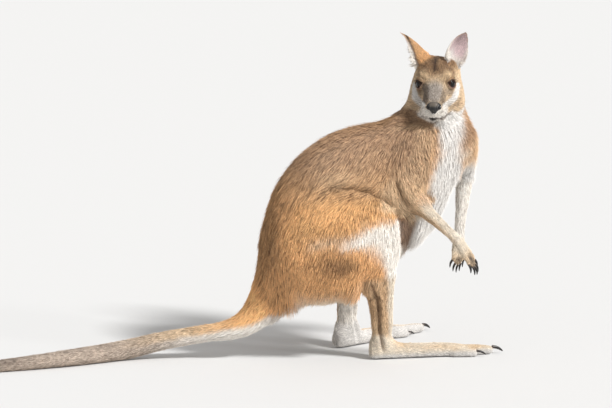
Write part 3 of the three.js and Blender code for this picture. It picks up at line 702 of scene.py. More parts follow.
# Edges of markings in mm: where along the edge, and how far across it lies there.
BIB_LEFT = (200, 240, 274, 301, 327, 345, 367, 396, 440), (-62, -58, -46, -48, -44, -32, -26, -27, -24)
BIB_RIGHT = (280, 300, 330, 354, 382, 404, 440), (60, 48, 30, 15, 15, 28, 34)
KNEE_TOP = (-63, -36, -9, 12, 31), (212, 225, 240, 246, 248)
KNEE_BOTTOM = (-63, -53, -33, -16, -2, 9, 18, 24, 28), (208, 205, 211, 209, 201, 189, 174, 155, 133)
THIGH_EDGE = (182, 203, 226, 246, 266), (48, 46, 43, 39, 34)
TAIL_LINE = (-307, -275, -235, -211, -187, -176, -162, -148), (41, 44, 54, 61, 68, 75, 82, 86)
INNER_ARM = {"right": (0.35, 0.6, -0.5), "left": (-0.75, -0.65, -0.1)}


def chest_bib(x, y, z, n):
    """1 on the white bib down the chest, which is turned to the right and widens into the belly."""
    lateral = (x - 125) * 0.899 + (y + 50) * 0.438
    left = np.interp(z, *BIB_LEFT)
    right = np.interp(z, *BIB_RIGHT)
    facing = ramp(n @ np.array([0.44, -0.9, -0.1]), -0.1, 0.25)
    return facing * ramp(lateral, left - 5, left + 5) * ramp(lateral, right + 6, right - 5)


def body_colors(q, n):
    """Trunk and neck: grey-brown back, tan flanks, orange rump, white belly and bib."""
    x, y, z = q.T
    m = mirrored(q, -1)
    pale_flank = 0.55 * spot(m, (-56, -85, 318), (34, 40, 16)) + 0.12 * grain(q, 30, 6).clip(0, 1)
    # painted shade: the belly in front of the thigh is dark brown where the arm shades it, weaker on the left
    # side
    under_arm_shade = np.where(y < 0, 0.95, 0.5) * spot(m, (64, -90, 230), (26, 26, 30))
    under = ramp(n[:, 2], -0.6, -0.82) * ramp(z, 330, 290) * ramp(np.abs(y), 84, 72)
    rise = 0.7 * (x - 54)
    low_belly = ramp(z, 219 + rise, 211 + rise) * ramp(x, 30, 45)
    slope = 0.4 * (x + 124)
    rump_end = 0.9 * ramp(z, 104 + slope, 97 + slope) * ramp(x, -80, -100)
    return layered(
        TAN,
        (BACK, ramp(z, 285, 350) * ramp(n[:, 2], -0.3, 0.5)),
        (RUMP, ramp(x, -70, -125) * ramp(z, 330, 230)),
        (SANDY, pale_flank),
        (BROWN, 0.25 * grain(q, 22, 7).clip(0, 1)),
        # painted shade: the rump is darker brown where it faces back, away from the light
        (BROWN * 0.9, 0.7 * ramp(n[:, 0], -0.8, -1.0) * ramp(z, 120, 200) * ramp(z, 330, 240)),
        # partly a darker brown nape, partly painted shade on the neck and shoulders where they turn away from
        # the light
        (BROWN, 0.75 * ramp(z, 375, 405) * ramp(n[:, 1], -0.55, 0.1)),
        (ORANGE, 0.7 * spot(q, (106, -95, 362), (11, 14, 18))),
        (UMBER * 0.58, under_arm_shade),
        # painted shade in the flank crease, the fold before the thigh and the elbow fold
        (UMBER * 0.4, 0.9 * near_fold(q, FLANK_CREASE, 4)),
        (UMBER * 0.7, 0.8 * near_fold(q, THIGH_FRONT, 8)),
        (UMBER * 0.8, 0.75 * near_path(q, ELBOW_FOLD, 6)),
        (WHITE, np.maximum.reduce([chest_bib(x, y, z, n), under, low_belly, rump_end])),
    )


def thigh_colors(q, n, sign):
    """Thighs: orange-tan, with a pale stripe that widens over the knee, white in front and inside."""
    m = mirrored(q, -1) - np.array([FAR_SIDE_SHIFT if sign > 0 else 0, 0, 0])
    x, _, z = m.T
    upper = np.interp(x, *KNEE_TOP)
    lower = np.interp(x, *KNEE_BOTTOM)
    knee = ramp(z, lower - 3, lower + 3) * ramp(z, upper + 4, upper - 3) * ramp(x, -72, -45)
    stripe = 0.45 * near_path(m, HIP_STRIPE, 6) * ramp(x, -40, -70)
    front = ramp(x, 26, 33) * ramp(z, 252, 244)
    inner = ramp(n[:, 1] * -sign, 0.2, 0.6)
    under = 0.8 * ramp(n[:, 2], -0.4, -0.85) * ramp(z, 160, 130)
    beyond = x - np.interp(z, *THIGH_EDGE)
    return layered(
        ORANGE,
        (RUMP, ramp(z, 250, 180)),
        (TAN, ramp(z, 270, 300)),
        # partly a lighter orange patch, partly painted highlight on the top of the thigh
        (ORANGE * 1.2, 0.8 * spot(m, (-86, -92, 253), (32, 40, 12))),
        # painted shade along the hollow across the thigh
        (BROWN, 0.6 * near_path(m, THIGH_HOLLOW, 6)),
        (UMBER * 0.9, 0.85 * spot(m, (-66, -109, 176), (30, 40, 14)) * ramp(grain(m, 14, 3), -0.9, 0.2)),
        (UMBER * 0.5, 0.75 * spot(m, (-48, -109, 178), (9, 40, 9))),
        (CREAM, np.maximum(stripe, under)),
        (KNEE, np.maximum.reduce([knee, front, inner])),
        # painted shade in the flank crease
        (UMBER * 0.4, 0.9 * near_fold(q, FLANK_CREASE, 4)),
        # painted shade: dark brown past the thigh's front edge, on the belly side
        (UMBER, 0.9 * ramp(beyond, -2, 6) * ramp(z, 198, 210) * (1 - 0.8 * inner)),
    )


def shank_colors(q, n, sign):
    """Shanks: sandy outside, cream in front and white inside."""
    z = q[:, 2]
    return layered(
        mix(SANDY, TAN, 0.55),
        (BROWN, 0.3 * ramp(n[:, 0], -0.1, -0.8)),
        (SANDY, 0.7 * ramp(z, 90, 45)),
        # painted shade in the groove down the shank
        (UMBER * 0.7, 0.9 * near_fold(q, SHANK_GROOVE, 4)),
        (CREAM, np.maximum(ramp(n[:, 0], 0.3, 0.5), 0.6 * ramp(z, 45, 20))),
        (KNEE, ramp(n[:, 1] * -sign, 0.1, 0.5)),
    )


def foot_colors(q, n):
    """Feet and toes: cream, sandy on top, white along the floor and inside, with dark soles."""
    z = q[:, 2]
    return layered(
        CREAM,
        (SANDY, 0.9 * ramp(n[:, 2], 0.1, 0.8) * ramp(grain(q, 22, 8), -0.6, 0.4)),
        (WHITE, ramp(z, 14, 6)),
        # painted shade where the shank's groove runs onto the foot
        (UMBER, 0.6 * near_fold(q, SHANK_GROOVE, 3.6) * ramp(z, 10, 30)),
        (WHITE, ramp(q[:, 1], 0, 20) * ramp(n[:, 1], 0.1, -0.4)),
        (PAD, ramp(n[:, 2], -0.8, -0.95)),
    )


def arm_colors(q, n, node):
    """Arms: tan outside, paler down to the wrist, white inside; the left one is mostly white."""
    kind, side = node.rsplit("_", 1)
    z = q[:, 2]
    white = ramp(n @ unit(np.array(INNER_ARM[side])), 0.0, 0.45)
    if kind == "hand":
        return hand_colors(q, side)
    if kind == "forearm":
        back = n @ unit(np.array([-0.55, -0.15, -0.75]))
        inside = (WHITE, 0.85 * white) if side == "right" else (KNEE, np.maximum(white, 0.85))
        return layered(
            CREAM * 0.95,
            (SANDY, ramp(back, -0.1, 0.6)),
            (BROWN, 0.6 * ramp(back, 0.4, 0.9) * ramp(z, 225, 255)),
            (TAN, 0.7 * ramp(z, 262, 282)),
            (KNEE, 0.4 * ramp(z, 240, 215)),
            inside,
        )
    if side == "left":
        white = np.maximum(white, ramp(z, 350, 320))
        return layered(SANDY, (TAN, 0.5 * ramp(n[:, 0], 0, 0.8)), (WHITE, white))
    return layered(
        mix(TAN, SANDY, 0.6),
        (BACK, 0.5 * ramp(z, 290, 340)),
        (SANDY, 0.6 * ramp(z, 300, 270)),
        # painted shade in the elbow fold and at the front of the elbow
        (UMBER * 0.8, 0.6 * near_path(q, ELBOW_FOLD, 5)),
        (UMBER, 0.6 * spot(q, (92, -104, 292), (8, 9, 9))),
        (WHITE, white),
    )


def hand_reach(q, side):
    """How far along its hand each place is from the middle of the hand."""
    return (q - on_body(middle(f"hand_{side}"))) @ part_direction(f"forearm_{side}", f"hand_{side}")


def hand_colors(q, side):
    """Hands: cream, darker towards the fingers, with painted shade between them."""
    reach = hand_reach(q, side)
    return layered(
        CREAM,
        (SANDY, 0.8 * ramp(reach, -10, 12)),
        (PAW, 0.5 * ramp(reach, 10, 26)),
        # painted shade in the furrows between the fingers
        (PAD, 0.85 * finger_gaps(q, side)),
    )


def finger_gaps(q, side):
    """1 in the furrows between the fingers of a hand, fading into the palm."""
    palm = on_body(middle(f"hand_{side}"))
    tips = [on_body(middle(f"claw_hand_{side}_{k}")) for k in range(1, 6)]
    apart = np.sort([along(q, [palm, tip])[0] for tip in tips], axis=0)
    return ramp(apart[1] - apart[0], 1.5, 0.4) * ramp(hand_reach(q, side), 4, 12)


def tail_colors(q, n):
    """Tail: orange-tan above and white below at its root, then grey-tan, dark at its end."""
    x, _, z = q.T
    t = along(q, TAIL_PATH)[1]
    top = layered(
        # painted light: the top of the tail's root is a lighter copy of the orange
        ORANGE * 1.3,
        (SANDY, ramp(t, 0.08, 0.28)),
        (SMOKE, ramp(t, 0.22, 0.5)),
        (TAIL_TIP, ramp(t, 0.62, 0.98)),
    )
    under = layered(KNEE, (SMOKE, ramp(t, 0.18, 0.42)), (TAIL_TIP, 0.8 * ramp(t, 0.7, 1.0)))
    line = np.interp(x, *TAIL_LINE)
    low = np.where(x > TAIL_LINE[0][0], ramp(z, line + 3, line - 4), ramp(n[:, 2], 0.5, 0.05))
    return mix(top, under, low)


def head_colors(h):
    """Head: warm brown brow with a dark middle streak, buff eyebrows, grey bridge, white cheek stripe."""
    m = mirrored(h, 1)
    f, a, u = m.T
    left = h[:, 1]
    crown = ramp(u, 6, 18) * ramp(f, 84, 66)
    streak = bell(left + 2, 3.0 + 0.02 * (75 - f)) * ramp(f, 70, 56) * ramp(f, -5, 15) * ramp(u, 8, 16)
    wisps = ramp(grain(h * (0.3, 1, 1), 3.6, 5), 0.0, 0.5) * crown * ramp(f, 72, 60) * ramp(f, 2, 14)
    bridge = ramp(f, 76, 92) * ramp(a, 16, 10) * ramp(u, -8, -1)
    tear = along(m, TEAR_LINE)[0]
    white_lip = ramp(u, -9, -14) * ramp(f, 96, 112) * ramp(u, -36, -31)
    near_side = ramp(left + 0.4 * (125 - f), -6, 4)
    lowest = between(-29, -36, ramp(left, 26, 36))
    jaw = ramp(u, lowest, lowest - 5) * near_side * ramp(f, 12, 34)
    d, t = along(m, MOUTH)
    # the dark line of the lips, with painted shadow under the lower lip, stronger on the left side
    mouth_shade = np.where(left > 0, 0.75, 0.25) * ramp(d, 4.0, 1.8) * ramp(t, 1.02, 0.7) * ramp(t, 0.1, 0.3)
    color = layered(
        SANDY * 0.86,
        (TAN, ramp(f, 20, 0)),
        (BROWN * 0.73, crown * (0.9 + 0.1 * grain(h, 9, 4))),
        (STREAK * 0.3, streak),
        (STREAK, 0.45 * wisps),
        (RUMP, 0.9 * spot(h, (0, -13, 24), (14, 9, 10))),
        (BUFF, 0.95 * spot(m, (66, 22, 21), (10, 8, 6))),
        (BUFF, 0.5 * spot(m, (76, 12, 18), (9, 6, 8))),
        (BUFF, 0.7 * spot(m, (36, 37, 12), (20, 8, 12))),
        (GREY, bridge),
        (SNOUT, 0.85 * ramp(along(m, SNOUT_SIDE)[0], 8, 4)),
        # a dark tear line from the eye to the nose, made darker and wider on the right side as painted shade
        (DUSK, np.where(left < 0, 0.85 * ramp(tear, 9, 4), 0.3 * ramp(tear, 5, 2))),
        (WHITE, ramp(along(m, CHEEK_STRIPE)[0], 7.5, 3.8)),
        (BROWN, 0.4 * spot(m, (84, 36, -25), (22, 6, 4.5))),
        # painted shade: the right side of the jaw and throat is dark brown
        (UMBER, 0.75 * ramp(u, -28, -35) * (1 - near_side)),
        (WHITE, jaw),
        (KNEE, white_lip),
        (DUSK, 0.6 * ramp(grain(h, 2.6, 9), 0.0, 0.45) * white_lip * ramp(a, 7, 12)),
        # painted shadow under the chin
        (DUSK, 0.75 * spot(h, (132, 1, -34), (12, 8, 4.5))),
        (DUSK, mouth_shade),
        (PAD, 0.7 * ramp(d, 1.7, 0.8) * ramp(t, 0.95, 0.2)),
        (PAD, ramp(d, 2.8, 1.6) * ramp(a, 9, 6)),
        (PAD * 0.5, ramp(np.linalg.norm(m - np.array([132, 0, -9]), axis=1), 9, 7)),
        (PAD * 0.5, ramp(spot(h, (136, -1, -27), (6, 7.5, 3.2)), 0.2, 0.7)),
    )
    for side in (1, -1):
        share, rise, _ = lid_angles(h, side)
        centre, axis, _, _ = eye_frame(side)
        around = 4 * spot(h, centre + axis * EYE_BALL, (14, 14, 12))
        color = layered(
            color,
            (BROWN, 0.5 * ramp(around, 0.6, 1.8) * ramp(share, 2.6, 1.6)),
            (LID, 0.6 * ramp(share, 1.35, 1.15)),
            (LID_PINK, 0.8 * ramp(share, 1.5, 1.3) * ramp(-rise, 0.1, 0.35)),
            (LID * 0.3, ramp(share, 1.17, 1.05)),
        )
    return color


def ear_colors(h, n, side):
    """Ears: white and pink inside, orange-tan behind, with a pale rim; on the right one the rim is brightened
    as painted light and a dark band of painted shade lies just inside it.
    """
    inner, height, across, edge = ear_place(h, n, side)
    flat = np.stack([height * 50, across], axis=1)
    # painted shade: a dark band just inside the right ear's rim
    band = ramp(edge, 3.2, 4.2) * ramp(edge, 8.0, 6.2) if side == "right" else 0
    # the right ear's rim is painted lighter than white as painted light; the left one's is its own white,
    # greyer towards the tip
    rim = KNEE * 1.1 if side == "right" else mix(WHITE, SMOKE, ramp(height, 0.5, 0.8))
    rim_width = 4.2 - 2.2 * ramp(height, 0.5, 0.9)
    back = layered(
        RUMP,
        (TAN, ramp(height, 0.2, 0.7)),
        (UMBER, 0.4 * ramp(height, 0.8, 1.0)),
        (STREAK * 0.5, band),
        (mix(rim, UMBER, 0.6 * ramp(height, 0.9, 1.0)), ramp(edge - rim_width, 0, -1.2)),
    )
    inside = layered(
        KNEE,
        (PINK * 0.95, ramp(height, 0.15, 0.42) * ramp(np.abs(across), 18, 11)),
        (MAUVE, 0.75 * spot(flat, (36, -5), (11, 9))),
        (WHITE, 0.9 * spot(flat, (15, -7), (8, 5))),
        (TAN, 0.5 * ramp(edge, 1.6, 0.4) * ramp(height, 0.4, 0.6)),
    )
    color = mix(back, inside, inner.astype(float))
    if side == "left":
        # painted light: the left ear's lobe is lighter than white
        color = mix(color, KNEE * 1.1, ramp(spot(h, (12, 18, 30), (11, 8, 11)), 0.15, 0.5))
    return color


def markings(node, q, h, n):
    """Colour of the coat on one node; the skin and the tufts both take it."""
    kind, side = kind_of(node), node.rsplit("_", 1)[-1]
    sign = -1 if side == "right" else 1
    if kind == "head":
        return head_colors(h)
    if kind == "ear":
        return ear_colors(h, n @ HEAD_AXES.T, side)
    if kind in ("trunk", "neck"):
        return body_colors(q, n)
    if kind == "thigh":
        return thigh_colors(q, n, sign)
    if kind == "shank":
        return shank_colors(q, n, sign)
    if kind in ("foot", "toe"):
        return foot_colors(q, n)
    if kind.startswith("tail"):
        return tail_colors(q, n)
    return arm_colors(q, n, node)


# ---- the dressed skin
# Where the coat is longer and stands off: place, sizes in mm, how much longer, how far it stands off.
BODY_FRINGES = [
    ((-24, -88, 134), (20, 16, 14), 0.9, 0.5),
    ((-125, -55, 108), (22, 26, 12), 0.6, 0.3),
    ((66, -70, 194), (24, 30, 16), 1.0, 0.4),
    ((92, -60, 226), (16, 30, 14), 0.7, 0.35),
]
HEAD_FRINGES = [
    ((13, 18, 29), (9, 7, 9), 0.6, 0.15),
    ((24, 25, 20), (9, 9, 8), 1.0, 0.35),
    ((0, -13, 25), (12, 9, 9), 1.2, 0.45),
    ((22, 38, 10), (20, 8, 12), 0.7, 0.35),
    ((84, 40, -26), (22, 9, 10), 0.6, 0.25),
    ((90, -36, -24), (24, 9, 12), 0.8, 0.3),
]


class Hide:
    """The finished skin with what the coat needs at each corner."""

    def __init__(self):
        """Wraps the flesh in one skin, sinks it by the coat's depth, shapes it and colours it."""
        tree, owners = flesh_tree()
        surface = raw_skin(tree, owners)
        m = mirrored(on_head(surface.places), 1)
        face = (m[:, 0] > 52) & (m[:, 1] < 44) & (m[:, 2] > -40)
        surface = refined(surface, face)
        m = mirrored(on_head(surface.places), 1)
        eyes = np.linalg.norm(m - np.array([72, 26, 7]), axis=1) < 19
        mouth = along(m, MOUTH)[0] < 6
        q = on_body(surface.places)
        sharp = [path for path, _, width in FOLDS if width < 7]
        folded = np.maximum.reduce([near_fold(q, path, 10) for path in sharp]) > 0.2
        surface = refined(surface, eyes | mouth | folded)
        self.owner = owners_of(surface.places, tree, owners)
        self.depth, self.length, self.width, self.density = (
            surface.smoothed(table_value(self.owner, column), 14) for column in (1, 2, 3, 4)
        )
        # half of the coat's depth is taken off along broad normals and half along close ones
        inset = ((self.depth + CUT_CLOSING / MM) * MM)[:, None] * 0.5
        surface.places = surface.places - unit(surface.smoothed(surface.normals(), 30)) * inset
        surface.places -= surface.normals() * inset
        self.shape(surface)
        self.surface = surface
        self.normals = surface.normals()
        self.broad = unit(surface.smoothed(self.normals, 25))
        self.lie = lie_of_coat(surface, self.owner, self.normals)
        self.colors = surface.smoothed(on_each_node(markings, surface.places, self.owner, self.broad), 2)
        self.stand = np.zeros(len(self.owner))
        self.trim()

    def shape(self, surface):
        """Body folds, furrows between the fingers, face, lids, the left ear's lobe and flat soles."""
        normals = unit(surface.smoothed(surface.normals(), 6))
        surface.places += normals * (shape_body(on_body(surface.places)) * MM)[:, None]
        for side in ("right", "left"):
            hand = self.owned("hand_" + side) > 0
            gaps = finger_gaps(on_body(surface.places[hand]), side)
            surface.places[hand] -= normals[hand] * (FURROW_DEPTH * MM * gaps)[:, None]
        h = on_head(surface.places)
        head = (h[:, 0] > 30) & (np.abs(h[:, 1]) < 50) & (np.abs(h[:, 2]) < 60) & (h[:, 0] < 160)
        tilted = normals @ HEAD_AXES.T
        h[head] += tilted[head] * shape_face(h[head])[:, None]
        surface.places[head] = from_head(shape_lids(h[head]))
        # the left ear's front lobe is full and round
        h = on_head(surface.places)
        lobe = spot(h, (10, 20, 36), (16, 11, 17)) * ramp(h[:, 2], 18, 27)
        surface.places = from_head(h + lobe[:, None] * np.array([4.5, -4.5, 0]))
        surface.places[:, 2] = np.maximum(surface.places[:, 2], 0.5 * MM)

    def trim(self):
        """Sets the tufts' length, width, density and stand at each corner, and where the skin is bare."""
        h, q = on_head(self.surface.places), on_body(self.surface.places)
        sole = ramp(self.broad[:, 2], -0.75, -0.9) * (self.owned("foot") + self.owned("toe"))
        self.bare = np.maximum(self.trim_face(h), sole * ramp(q[:, 2], 8, 4))
        self.density *= 1 - np.clip(self.bare, 0, 1)
        self.trim_ears(h)
        self.trim_body(q)
        for place, sizes, longer, stand in BODY_FRINGES:
            near = np.maximum(spot(q, place, sizes), spot(q, other_side([place])[0], sizes))
            self.fringe(near, longer, stand)
        for place, sizes, longer, stand in HEAD_FRINGES:
            self.fringe(spot(h, place, sizes), longer, stand)

    def fringe(self, near, longer, stand):
        """Makes the coat longer and lets it stand off by the share near."""
        self.length *= 1 + longer * near
        self.stand += stand * near

    def trim_face(self, h):
        """Short fine hair on the muzzle and round the eyes, longer on the cheeks; returns what is bare."""
        m = mirrored(h, 1)
        on_face = self.owned("head")
        muzzle = ramp(h[:, 0], 62, 105) * on_face
        self.length *= 1 - 0.52 * muzzle
        self.width *= 1 - 0.3 * muzzle
        self.density *= 1 + 0.7 * muzzle
        cheeks = on_face * ramp(h[:, 0], 74, 40) * ramp(h[:, 2], 6, -22)
        self.length *= 1 + 0.8 * cheeks
        pad = np.linalg.norm((m - np.array([130, 0, -9])) / (1.3, 1.1, 1), axis=1)
        lips = ramp(along(m, MOUTH)[0], 2.4, 1.2) * ramp(h[:, 0], 80, 86)
        bare = np.maximum(lips, on_face * ramp(pad, 11, 9))
        for side in (1, -1):
            share = lid_angles(h, side)[0]
            bare = np.maximum(bare, ramp(share, 1.5, 1.25))
            self.length *= 1 - 0.5 * ramp(share, 3.0, 1.5)
            self.width *= 1 - 0.3 * ramp(share, 3.0, 1.5)
        return bare

    def trim_ears(self, h):
        """Long dense hairs on the lower rims of the ears."""
        for side in ("right", "left"):
            ear = self.owned("ear_" + side) > 0
            fringe = ear_fringe(h[ear], self.normals[ear] @ HEAD_AXES.T, side)
            self.length[ear] *= 1 + 2.4 * fringe
            self.width[ear] *= 1 + 0.5 * fringe
            self.density[ear] *= 1 + 4 * fringe

    def trim_body(self, q):
        """Longer hair under the belly, short and close in the folds, hanging free where it overhangs."""
        belly = self.owned("trunk") * ramp(self.broad[:, 2], -0.2, -0.7)
        self.length *= 1 + 0.25 * belly
        folds = (FLANK_CREASE, 8), (THIGH_FRONT, 7), (SHANK_GROOVE, 5)
        creased = np.maximum.reduce([near_fold(q, path, width) for path, width in folds])
        self.length *= 1 - 0.55 * creased
        self.depth *= 1 - 0.6 * creased
        throat = self.owned(("trunk", "neck", "upper_arm_left"))
        self.stand += 0.42 * self.owned("thigh") * ramp(self.broad[:, 2], -0.35, -0.75)
        self.stand += 0.22 * belly
        self.stand += 0.34 * throat * ramp(q[:, 0], 135, 160) * ramp(q[:, 2], 270, 320)

    def owned(self, kind):
        """1 at the corners nearest to nodes whose names start so, else 0."""
        return np.isin(self.owner, [k for k, n in enumerate(FLESH) if n.startswith(kind)]).astype(float)


# ---- tufts
COAT_PIECES = {  # piece: (the nodes it grows on, its share of the tufts, its slot)
    "coat_head": (("head",), 0.125, "fur_tan"),
    "coat_ears": (("ear",), 0.04, "fur_tan"),
    "coat_neck": (("neck",), 0.06, "fur_tan"),
    "coat_trunk_front": (("trunk",), 0.14, "fur_tan"),
    "coat_trunk_back": (("trunk",), 0.14, "fur_tan"),
    "coat_thigh_right": (("thigh_right",), 0.1, "fur_tan"),
    "coat_thigh_left": (("thigh_left",), 0.08, "fur_tan"),
    "coat_arms": (("upper_arm", "forearm", "hand"), 0.105, "fur_pale"),
    "coat_legs": (("shank", "foot", "toe"), 0.11, "fur_pale"),
    "coat_tail": (("tail",), 0.10, "fur_tail"),
}
FRONT_AND_BACK = -5  # the trunk's coat is in two pieces that meet here, in mm
# The widest section of a tuft, across it and out of the skin, in widths of the tuft.
LOCK = np.array([[-0.5, 0.0], [0.5, 0.0], [0.0, 0.28]])
LOCK_FACES = np.array([[0, 2, 1], [0, 3, 2], [0, 1, 3], [1, 2, 4], [2, 3, 4], [3, 1, 4]])
WIDEST = 0.36  # how far along a tuft its widest section is
# a tuft is darker at its root and sides and paler on its ridge and tip: partly the hair's own darker roots
# and paler tips, partly painted shade and painted light
BANDING_AND_SHADING = np.array([0.72, 0.92, 0.92, 1.03, 1.2])  # of a tuft's colour, at its root, widest section and tip
WISP = 7  # locks that lean together
PATCH = 0.003  # size of a tuft's patch on the map
PATCH_PLACES = np.array([[0, -0.5], [-0.5, 0], [0.5, 0], [0, 0.1], [0, 0.5]]) * PATCH


def tree_of(points):
    """A search tree over points."""
    tree = KDTree(len(points))
    for k, p in enumerate(points.tolist()):
        tree.insert(p, k)
    tree.balance()
    return tree


def nearest(tree, points):
    """Which of a tree's points is nearest to each point."""
    return np.array([tree.find(p)[1] for p in points.tolist()])


def spread_roots(hide, triangles, count, rng):
    """At most count roots, spaced evenly over some of the skin's triangles: which one, and where on it."""
    corners = hide.surface.places[triangles]
    a, b, c = corners.transpose(1, 0, 2)
    weight = np.linalg.norm(np.cross(b - a, c - a), axis=1) / 2 * hide.density[triangles].mean(axis=1)
    many = int(count * 2.6)
    picked = rng.choice(len(triangles), many, p=weight / weight.sum())
    share = rng.random((many, 2))
    flip = share.sum(axis=1) > 1
    share[flip] = 1 - share[flip]
    share = np.concatenate([1 - share.sum(axis=1, keepdims=True), share], axis=1)
    places = (corners[picked] * share[..., None]).sum(axis=1)
    density = (hide.density[triangles[picked]] * share).sum(axis=1)
    # at most one root stays in each cell of a lattice that is finer where the coat is denser
    level = np.round(2 * np.log2(np.maximum(density, 0.05))) / 2
    cell = np.sqrt(weight.sum() / count) * 1.12 * 2 ** (-level / 2)
    x, y, z = np.floor(places / cell[:, None]).astype(np.int64).T
    keys = ((x * 92837111) ^ (y * 689287499) ^ (z * 283923481)) + (level * 2).astype(np.int64)
    _, first = np.unique(keys, return_index=True)
    first = np.sort(first)[:count]
    return picked[first], share[first]


def unwrapped(hide, triangles):
    """The map places of the corners of these triangles, on an unwrap of the skin's own shape."""
    used, index = np.unique(triangles, return_inverse=True)
    patch = mesh_object("unwrap", hide.surface.places[used], index.reshape(-1, 3))
    patch.data.uv_layers.new(name="map")
    bpy.context.view_layer.objects.active = patch
    patch.select_set(True)
    bpy.ops.object.mode_set(mode="EDIT")
    bpy.ops.mesh.select_all(action="SELECT")
    bpy.ops.uv.smart_project(angle_limit=math.radians(66), island_margin=0.004)
    bpy.ops.object.mode_set(mode="OBJECT")
    places = read(patch.data.uv_layers["map"].uv, "vector", 2).reshape(-1, 3, 2)
    remove(patch)
    return places


def lock_places(hide, skin_tree, at_root, rng, seed):
    """The five corners of each tuft of a piece, and which wisp it belongs to."""
    places, normals = hide.surface.places, hide.normals
    root, normal, lie = at_root(places), unit(at_root(normals)), at_root(hide.lie)
    depth, length, width, stand = (at_root(v) for v in (hide.depth, hide.length, hide.width, hide.stand))
    n = len(root)

    # each hair lock strays a little from the lie, in wisps about a centimetre across
    side = unit(np.cross(normal, lie))
    stray = 0.20 * grain(root, 16 * MM, seed) + 0.10 * grain(root, 5 * MM, seed + 1) + rng.normal(0, 0.07, n)
    heading = unit(lie + side * stray[:, None])
    size = length * MM * rng.uniform(0.75, 1.2, n) * (1 + 0.15 * grain(root, 20 * MM, seed + 2))
    reach = root + heading * size[:, None]

    # locks lean towards the tip of a neighbour, which parts the coat into fine wisps
    leaders = np.arange(0, n, WISP)
    wisp = nearest(tree_of(root[leaders]), root)
    follows = leaders[wisp]
    apart = np.linalg.norm(root[follows] - root, axis=1)
    reach = mix(reach, reach[follows], 0.24 * ramp(apart, 1.3 * size, 0.3 * size))

    def laid(p):
        """Places moved onto the skin, and its normals there."""
        index = nearest(skin_tree, p)
        off = ((p - places[index]) * normals[index]).sum(axis=1)
        return p - normals[index] * off[:, None], normals[index]

    tip, tip_normal = laid(reach)
    bend, bend_normal = laid(mix(root, reach, WIDEST))
    rise = depth * MM * rng.uniform(0.25, 0.85, n) * (1 + 0.2 * grain(root, 9 * MM, seed + 3))
    rise *= np.where(rng.random(n) < 0.10, 1.7, 1)
    tip = tip + tip_normal * (rise + stand * size)[:, None]
    bend = bend + bend_normal * (rise * 0.6 + stand * size * 0.3)[:, None]

    half = width * MM * rng.uniform(0.7, 1.3, n)
    across = unit(np.cross(bend_normal, tip - root))
    out = np.empty((n, 5, 3))
    out[:, 0] = root - normal * 0.3 * MM
    for j, (a, b) in enumerate(LOCK):
        out[:, 1 + j] = bend + (across * a + bend_normal * b) * half[:, None]
    out[:, 4] = tip
    out[:, :, 2] = np.maximum(out[:, :, 2], 0.2 * MM)
    return out, wisp


def ticked(color, root, wisp, rng, seed):
    """Colours of the five corners of each tuft: single locks and whole wisps are darker or paler."""
    n = len(color)
    pale = ramp(color.mean(axis=1), 0.32, 0.62)
    spread = between(0.17, 0.08, pale)
    single = rng.normal(0, 1, n)
    shared = rng.normal(0, 1, len(range(0, n, WISP)))[wisp]
    tone = 1 + spread * single + spread * 0.7 * shared
    tone += 0.06 * grain(root, 26 * MM, seed + 5)
    base = color * np.clip(tone, 0.5, 1.5)[:, None]
    dark = (rng.random(n) < 0.10 * (1 - pale)).astype(float)
    base = mix(base, base * np.array([0.45, 0.40, 0.38]), dark)
    return base[:, None, :] * BANDING_AND_SHADING[None, :, None]


def tufts(hide, skin_tree, name, triangles, count, seed):
    """One piece of the coat: solid tufts that lie over some of the skin's triangles."""
    rng = np.random.default_rng(seed)
    picked, share = spread_roots(hide, triangles, count, rng)
    corners = triangles[picked]

    def at_root(values):
        """Values of the skin's corners at the tufts' roots."""
        weights = share.reshape(share.shape + (1,) * (values.ndim - 1))
        return (values[corners] * weights).sum(axis=1)

    places, wisp = lock_places(hide, skin_tree, at_root, rng, seed)
    colors = ticked(at_root(hide.colors), at_root(hide.surface.places), wisp, rng, seed)
    faces = (LOCK_FACES[None] + 5 * np.arange(len(picked))[:, None, None]).reshape(-1, 3)
    piece = mesh_object(name, places.reshape(-1, 3), faces, smooth=False)
    tint(piece, colors.reshape(-1, 3))
    spots = (unwrapped(hide, triangles)[picked] * share[..., None]).sum(axis=1)
    tuft_map = np.clip(spots[:, None] + PATCH_PLACES[None], 0.0005, 0.9995)
    bake = piece.data.uv_layers.new(name="OFBake")
    loops = np.empty(len(piece.data.loops), np.int32)
    piece.data.loops.foreach_get("vertex_index", loops)
    bake.uv.foreach_set("vector", tuft_map.reshape(-1, 2)[loops].astype(np.float32).ravel())
    return piece


def coat(hide, skin_tree, material):
    """Every piece of the coat."""
    surface = hide.surface
    owner = hide.owner[surface.triangles[:, 0]]
    ahead = on_body(surface.places[surface.triangles[:, 0]])[:, 0] > FRONT_AND_BACK
    pieces = []
    for seed, (name, (kinds, part, slot)) in enumerate(COAT_PIECES.items()):
        chosen = np.isin(owner, [k for k, n in enumerate(FLESH) if n.startswith(kinds)])
        if kinds == ("trunk",):
            chosen &= ahead == name.endswith("front")
        triangles = surface.triangles[chosen]
        piece = tufts(hide, skin_tree, name, triangles, int(COAT_TUFTS * part), 100 + 10 * seed)
        piece.data.materials.append(material)
        pieces.append(piece)
    return pieces


